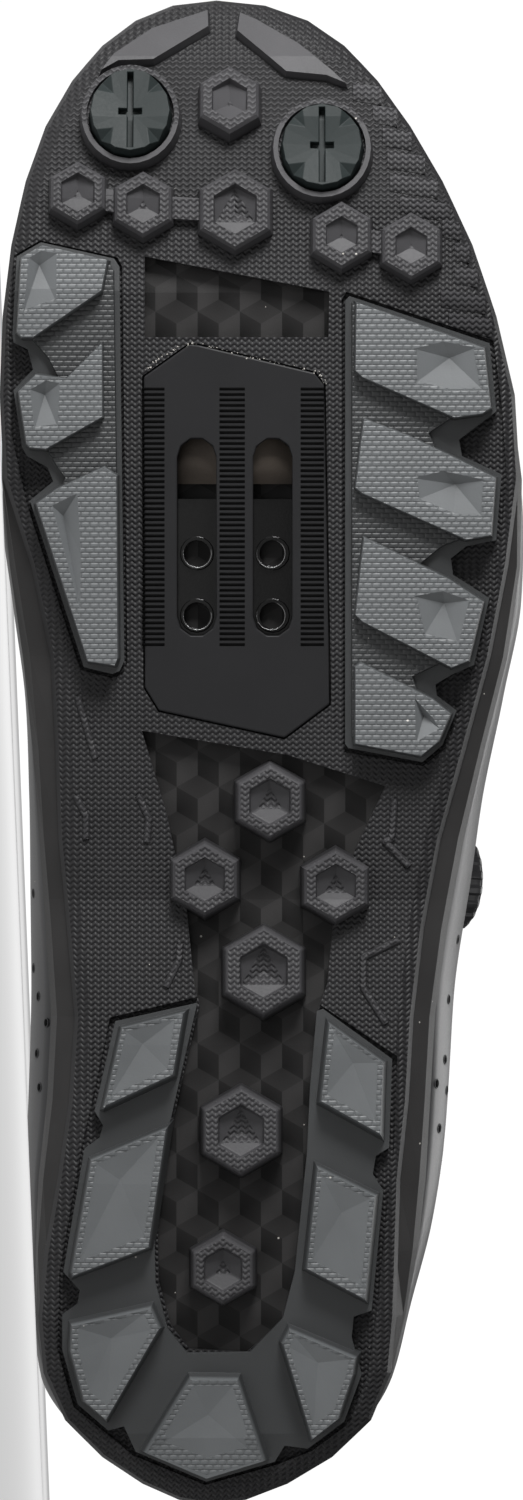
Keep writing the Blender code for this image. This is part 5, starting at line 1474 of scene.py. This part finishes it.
@dataclass
class Tongue:
    """The padded tongue, from under the vamp to above the collar."""

    last: Last
    shop: Workshop
    thickness: float = 3.5 * MM
    tuck: float = 6.0 * MM
    rise: float = 16.0 * MM
    lean: float = 11.0 * MM
    under: float = 12.0 * MM
    gap: float = 1.3 * MM
    crown: float = 0.22
    rows: Pair = (7.25, 12.2)

    def rim(self, side: float, row: float, up: float = 1.0) -> Array:
        """Return a place below the wall beside the throat."""
        turn = np.array([row if side > 0 else ROUND - row])
        up_there = np.array([up])
        normal = self.last.round_normal(turn, up_there)
        return (self.last.round_skin(turn, up_there) - normal * (self.last.wall + self.gap))[0]

    def over(self, row: float) -> Array:
        """Return the upward direction across the throat."""
        turns = np.array([row, ROUND - row])
        return unit(self.last.round_normal(turns, np.ones(2)).sum(axis=0))

    def top(self, row: float, across: float) -> Array:
        """Return a place on the tongue's upper face."""
        inner, outer = self.rim(1.0, row), self.rim(-1.0, row)
        half = (inner - outer) / 2.0
        swell = (1.0 - across * across) * np.linalg.norm(half) * self.crown
        return (inner + outer) / 2.0 + half * across + self.over(row) * swell

    def tucked(self, side: float, row: float) -> Array:
        """Return the tongue's own edge under the upper."""
        ups = np.linspace(0.0, 1.0, 13)
        path = self.last.skin(np.full(13, side), np.full(13, row), ups)
        length = np.linalg.norm(np.diff(path, axis=0), axis=-1).sum()
        return self.rim(side, row, 1.0 - self.tuck / length)

    def net(self) -> Array:
        """Return the control net, from above the collar to under the vamp."""
        rows = []
        for row in np.linspace(*self.rows, 7):
            across = [self.top(row, a) for a in (0.98, 0.5, 0.0, -0.5, -0.98)]
            rows.append([self.tucked(1.0, row), *across, self.tucked(-1.0, row)])
        rows.append([p + np.array([0.0, self.under, -self.under * 0.45]) for p in rows[-1]])
        first = rows[0]
        middle = (first[0] + first[-1]) / 2.0
        for rise, pull in ((0.45, 0.34), (1.0, 0.22)):
            lift = np.array([0.0, -self.lean * rise, self.rise * rise])
            target = [np.array([middle[0], p[1], middle[2]]) for p in first]
            rows.insert(0, [p + (t - p) * pull + lift for p, t in zip(first, target)])
        return np.array(rows)

    def build(self) -> None:
        """Make the padded tongue with its sewn channels."""
        net = self.net()

        def face(a: Array, b: Array) -> Array:
            across = through(net.transpose(1, 0, 2), a)
            return np.stack([through(across[k], b[k:k + 1])[0] for k in range(len(a))])

        def place(u: Array, v: Array) -> Array:
            a = np.clip(1.0 - np.abs(2.0 * u - 1.0), 0.0, 1.0)
            b = v
            small = 0.01
            spot = face(a, b)
            along = face(a, np.minimum(b + small, 1.0)) - face(a, np.maximum(b - small, 0.0))
            over = face(np.minimum(a + small, 1.0), b) - face(np.maximum(a - small, 0.0), b)
            normal = unit(np.cross(over, along))
            normal = normal * np.where(normal[:, 2:3] < 0.0, -1.0, 1.0)
            edge = np.clip(np.minimum(np.minimum(a, 1.0 - a) * 9.0, np.minimum(b, 1.0 - b) * 22.0), 0.0, 1.0)
            fill = np.sqrt(1.0 - (1.0 - edge) ** 2)
            sewn = sum(bump(b, centre, 0.012) for centre in (0.13, 0.30, 0.42, 0.54, 0.66))
            sewn = np.maximum(sewn, bump(np.abs(a - 0.5), 0.30, 0.012))
            middle = spot - normal * (self.thickness / 2.0)
            face_side = np.where(u <= 0.5, 1.0, -1.0)
            half = self.thickness * 0.5 * fill * (1.0 - 0.30 * sewn)
            return middle + normal * (face_side * half)[:, None]

        bm = laid_grid(112, 120, place)
        obj = self.shop.piece("padded_tongue", bm, Material.TONGUE, ["tongue"])


@dataclass
class Insole:
    """The loose footbed inside."""

    last: Last
    shop: Workshop
    inset: float = 5.2 * MM
    thickness: float = 3.0 * MM
    lift: float = 0.8 * MM

    def build(self) -> None:
        """Make the footbed as a closed pad with a rounded edge."""

        def place(u: Array, v: Array) -> Array:
            turn = u * ROUND
            side, row = self.last.turned(turn)
            start, end = self.last.feather(side, row), self.last.edge(side, row)
            inward = unit((end - start) * np.array([1.0, 1.0, 0.0]))
            ring = start + inward * self.inset
            share = 1.0 - np.abs(2.0 * v - 1.0)
            reach = np.sin(share * math.pi / 2.0) ** 0.6
            spine = np.stack([np.zeros_like(u), np.clip(ring[:, 1], 0.045, 0.245), ring[:, 2]], axis=-1)
            spot = spine + (ring - spine) * reach[:, None]
            small = 1e-4
            middle = self.last.profile("feather", spot[:, 1])
            beside = [self.last.profile("feather", spot[:, 1] + d) for d in (-small, small)]
            steps = [np.abs(height - middle) / small for height in beside]
            floor = middle + self.last.wall * np.hypot(1.0, np.maximum(*steps)) + self.lift
            fall = np.sqrt(np.clip(1.0 - ((reach - 0.965) / 0.035).clip(0.0, 1.0) ** 2, 0.0, 1.0))
            upper_face = self.thickness * (0.5 + 0.5 * fall)
            lower_face = self.thickness * (0.5 - 0.5 * fall)
            spot[:, 2] = floor + np.where(v < 0.5, lower_face, upper_face)
            return spot

        bm = laid_grid(240, 40, place)
        self.shop.piece("footbed", bm, Material.INSOLE, ["insole"])


@dataclass
class Closure:
    """Dial, guides and the lace between them."""

    last: Last
    shop: Workshop
    tongue: Tongue
    lace_radius: float = 0.8 * MM
    guide_up: float = 0.90
    guide_width: float = 6.0 * MM
    gap: float = 0.3 * MM
    shoulder: float = 0.55
    lift: float = 1.6
    runs: tuple[float, ...] = (8.2, 9.5, 10.8)
    dial_row: float = 7.12
    dial_up: float = 0.56
    dial_radius: float = 9.8 * MM
    dial_base: float = 2.5 * MM
    dial_knob: float = 4.8 * MM
    grips: int = 20
    side_lift: float = 1.1 * MM
    side_runs: tuple[tuple[str, int, Pair, Pair], ...] = (
        ("lace_side_medial", 1, (8.35, 0.90), (9.55, 0.90)),
        ("lace_side_lateral", -1, (9.65, 0.90), (10.85, 0.90)),
        ("lace_from_dial", -1, (7.42, 0.63), (8.15, 0.88)),
    )

    def seat(self, side: int, row: float, up: float) -> tuple[Array, Array, Array, Array]:
        """Return place, outward direction and the metres of one row and of one section."""
        small = 0.05
        spot = self.last.side_skin(side, np.array([row]), np.array([up]))[0]
        normal = self.last.side_skin(side, np.array([row]), np.array([up]), 1.0)[0] - spot
        rows = self.last.side_skin(side, np.array([row - small, row + small]), np.array([up, up]))
        ups = self.last.side_skin(side, np.array([row, row]), np.array([up - small, up + small]))
        return spot, normal, (rows[1] - rows[0]) / (2 * small), (ups[1] - ups[0]) / (2 * small)

    def run_end(self, side: int, row: float, inner: bool = True) -> Array:
        """Return where a run over the tongue leaves its guide."""
        _, normal, _, one_up = self.seat(side, row, self.guide_up)
        clear = self.lace_radius + 2 * self.gap
        reach = self.guide_width / 2 + 2 * self.gap + self.lace_radius
        up = self.guide_up + reach / np.linalg.norm(one_up)
        spot = self.last.side_skin(side, np.array([row]), np.array([up]))[0]
        return spot + normal * (clear + self.gap)

    def bars(self) -> None:
        """Make the runs of the lace over the tongue."""
        clear = self.lace_radius + 2 * self.gap
        for number, row in enumerate(self.runs, start=1):
            over = self.tongue.over(row)
            keys = [self.run_end(1, row)]
            for across in (self.shoulder, 0.0, -self.shoulder):
                keys.append(self.tongue.top(row, across) + over * clear * self.lift)
            keys.append(self.run_end(-1, row))
            bm = tube_mesh(np.array(keys), self.lace_radius, 72, 14)
            self.shop.piece(f"lace_run_{number}", bm, Material.LACE, [f"lace_bar_{number}"])

    def side_run(self, name: str, side: int, start: Pair, end: Pair) -> None:
        """Lay a run of the lace along one side of the throat.

        Args:
            name: The piece's name.
            side: 1 medial, -1 lateral.
            start: Row and up where the run starts.
            end: Row and up where it ends.
        """
        share = np.linspace(0.0, 1.0, 7)
        rows = start[0] + (end[0] - start[0]) * share
        ups = start[1] + (end[1] - start[1]) * share
        points = self.last.side_skin(side, rows, ups, self.lace_radius + self.side_lift)
        self.shop.piece(name, tube_mesh(points, self.lace_radius, 40, 14), Material.LACE)

    def knob(self) -> None:
        """Make the ribbed dial knob as one turned form with grips."""
        spot, normal, one_row, one_up = self.seat(-1, self.dial_row, self.dial_up)
        along = unit(one_row - normal * np.dot(one_row, normal))
        rising = np.cross(normal, along)
        low, high = self.dial_base + self.gap, self.dial_base + self.gap + self.dial_knob
        profile = np.array([
            (0.0, low), (0.55, low), (0.93, low), (0.985, low + 0.3 * MM), (1.0, low + 0.8 * MM),
            (1.0, low + 2.6 * MM), (1.0, high - 1.6 * MM), (0.985, high - 0.8 * MM),
            (0.93, high - 0.15 * MM), (0.86, high), (0.70, high), (0.60, high - 0.02 * MM),
            (0.565, high - 0.5 * MM), (0.53, high - 0.65 * MM), (0.30, high - 0.55 * MM),
            (0.0, high - 0.45 * MM),
        ])

        def place(u: Array, v: Array) -> Array:
            at = v * (len(profile) - 1)
            radius = np.interp(at, np.arange(len(profile)), profile[:, 0])
            height = np.interp(at, np.arange(len(profile)), profile[:, 1])
            wave = np.cos(u * math.tau * self.grips)
            grip = 0.4 * MM * smooth(0.25, -0.25, wave) * smooth(0.90, 0.97, radius)
            size = radius * self.dial_radius - grip
            angle = u * math.tau
            flat = along * (np.cos(angle) * size)[:, None] + rising * (np.sin(angle) * size)[:, None]
            return spot + normal * height[:, None] + flat

        bm = laid_grid(320, 45, place)
        self.shop.piece("dial_grip", bm, Material.DIAL, ["dial_knob"])

    def build(self) -> None:
        """Dress dial base and guides, and run the lace."""
        self.shop.dress("dial_base", Material.GUIDE, 0.3 * MM)
        for number in range(1, 7):
            self.shop.dress(f"lace_guide_{number}", Material.GUIDE, 0.5 * MM, 3)
        self.knob()
        self.bars()
        for run in self.side_runs:
            self.side_run(*run)


class Lamp(NamedTuple):
    """A soft square light: its place in the shoe's frame, its width and its watts."""

    name: str
    spot: tuple[float, float, float]
    size: float
    power: float


@dataclass
class Studio:
    """Camera, floor and light."""

    pose: Matrix
    aim: tuple[float, float, float] = (0.0, 0.14, 0.0)
    lamps: tuple[Lamp, ...] = (
        Lamp("key_light", (-0.10, 0.80, -0.42), 0.26, 8.5),
        Lamp("fill_light", (-0.9, -0.25, -0.6), 0.8, 2.4),
        Lamp("top_light", (-0.9, 0.1, 0.75), 0.7, 4.5),
    )
    floor_half: float = 3.0
    floor_tone: float = 0.62
    floor_glow: float = 0.40
    backdrop_seen: float = 0.99
    backdrop_light: float = 0.06

    def place(self, x: float, y: float, z: float) -> Vector:
        """Return a place in the shoe's frame as it lies in the world."""
        return self.pose @ Vector((x, y, z))

    def camera(self) -> None:
        """Set the camera straight under the sole, toe up."""
        data = bpy.data.cameras.new("photo_view")
        data.sensor_fit = "VERTICAL"
        data.sensor_height = SENSOR
        data.lens = LENS
        data.clip_end = 20.0
        camera = bpy.data.objects.new("photo_view", data)
        turn = self.pose.to_3x3()
        right, up, back = turn @ Vector((-1, 0, 0)), turn @ Vector((0, 1, 0)), turn @ Vector((0, 0, -1))
        axes = Matrix((right, up, back)).transposed().to_4x4()
        camera.matrix_world = Matrix.Translation(self.place(*EYE)) @ axes
        bpy.context.scene.collection.objects.link(camera)
        bpy.context.scene.camera = camera

    def floor(self) -> None:
        """Lay a plain pale floor."""
        bm = bmesh.new()
        bmesh.ops.create_grid(bm, x_segments=1, y_segments=1, size=self.floor_half)
        mesh = bpy.data.meshes.new("floor")
        bm.to_mesh(mesh)
        bm.free()
        pale = bpy.data.materials.new("pale floor")
        pale.use_nodes = True
        shader = pale.node_tree.nodes["Principled BSDF"]
        shader.inputs["Base Color"].default_value = (self.floor_tone,) * 3 + (1.0,)
        shader.inputs["Roughness"].default_value = 0.9
        shader.inputs["Emission Color"].default_value = (1.0, 1.0, 1.0, 1.0)
        shader.inputs["Emission Strength"].default_value = self.floor_glow
        mesh.materials.append(pale)
        obj = bpy.data.objects.new("floor", mesh)
        bpy.context.scene.collection.objects.link(obj)

    def hang(self, lamp: Lamp) -> None:
        """Hang one light and turn it to the middle of the sole."""
        data = bpy.data.lights.new(lamp.name, "AREA")
        data.shape = "SQUARE"
        data.size = lamp.size
        data.energy = lamp.power
        spot = self.place(*lamp.spot)
        facing = (self.place(*self.aim) - spot).to_track_quat("-Z", "Y").to_matrix().to_4x4()
        obj = bpy.data.objects.new(lamp.name, data)
        obj.matrix_world = Matrix.Translation(spot) @ facing
        bpy.context.scene.collection.objects.link(obj)

    def world(self) -> None:
        """Make the white backdrop, dimmer as a light than it looks."""
        world = bpy.data.worlds.new("white backdrop")
        bpy.context.scene.world = world
        world.use_nodes = True
        graph = Graph(world.node_tree)
        background = world.node_tree.nodes["Background"]
        background.inputs["Color"].default_value = (1.0, 1.0, 1.0, 1.0)
        seen = graph.node("ShaderNodeLightPath").outputs["Is Camera Ray"]
        strength = graph.math("MULTIPLY_ADD", seen, self.backdrop_seen, self.backdrop_light)
        graph.feed(background.inputs["Strength"], strength)

    def build(self) -> None:
        """Set up the whole studio."""
        self.camera()
        self.floor()
        self.world()
        for lamp in self.lamps:
            self.hang(lamp)
        bpy.context.scene.view_settings.view_transform = "Standard"


def main() -> None:
    logging.basicConfig(level=logging.INFO, format="%(name)s: %(message)s")
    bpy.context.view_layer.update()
    last = Last()
    pose = ShoePose(last).matrix()
    LOG.info("pose %s", [[round(value, 6) for value in row] for row in pose])
    shop = Workshop(pose, Effects(last))
    Sole(last, shop).build()
    UpperShell(last, shop).build()
    tongue = Tongue(last, shop)
    tongue.build()
    Insole(last, shop).build()
    Closure(last, shop, tongue).build()
    Studio(pose).build()


if __name__ == "__main__":
    main()
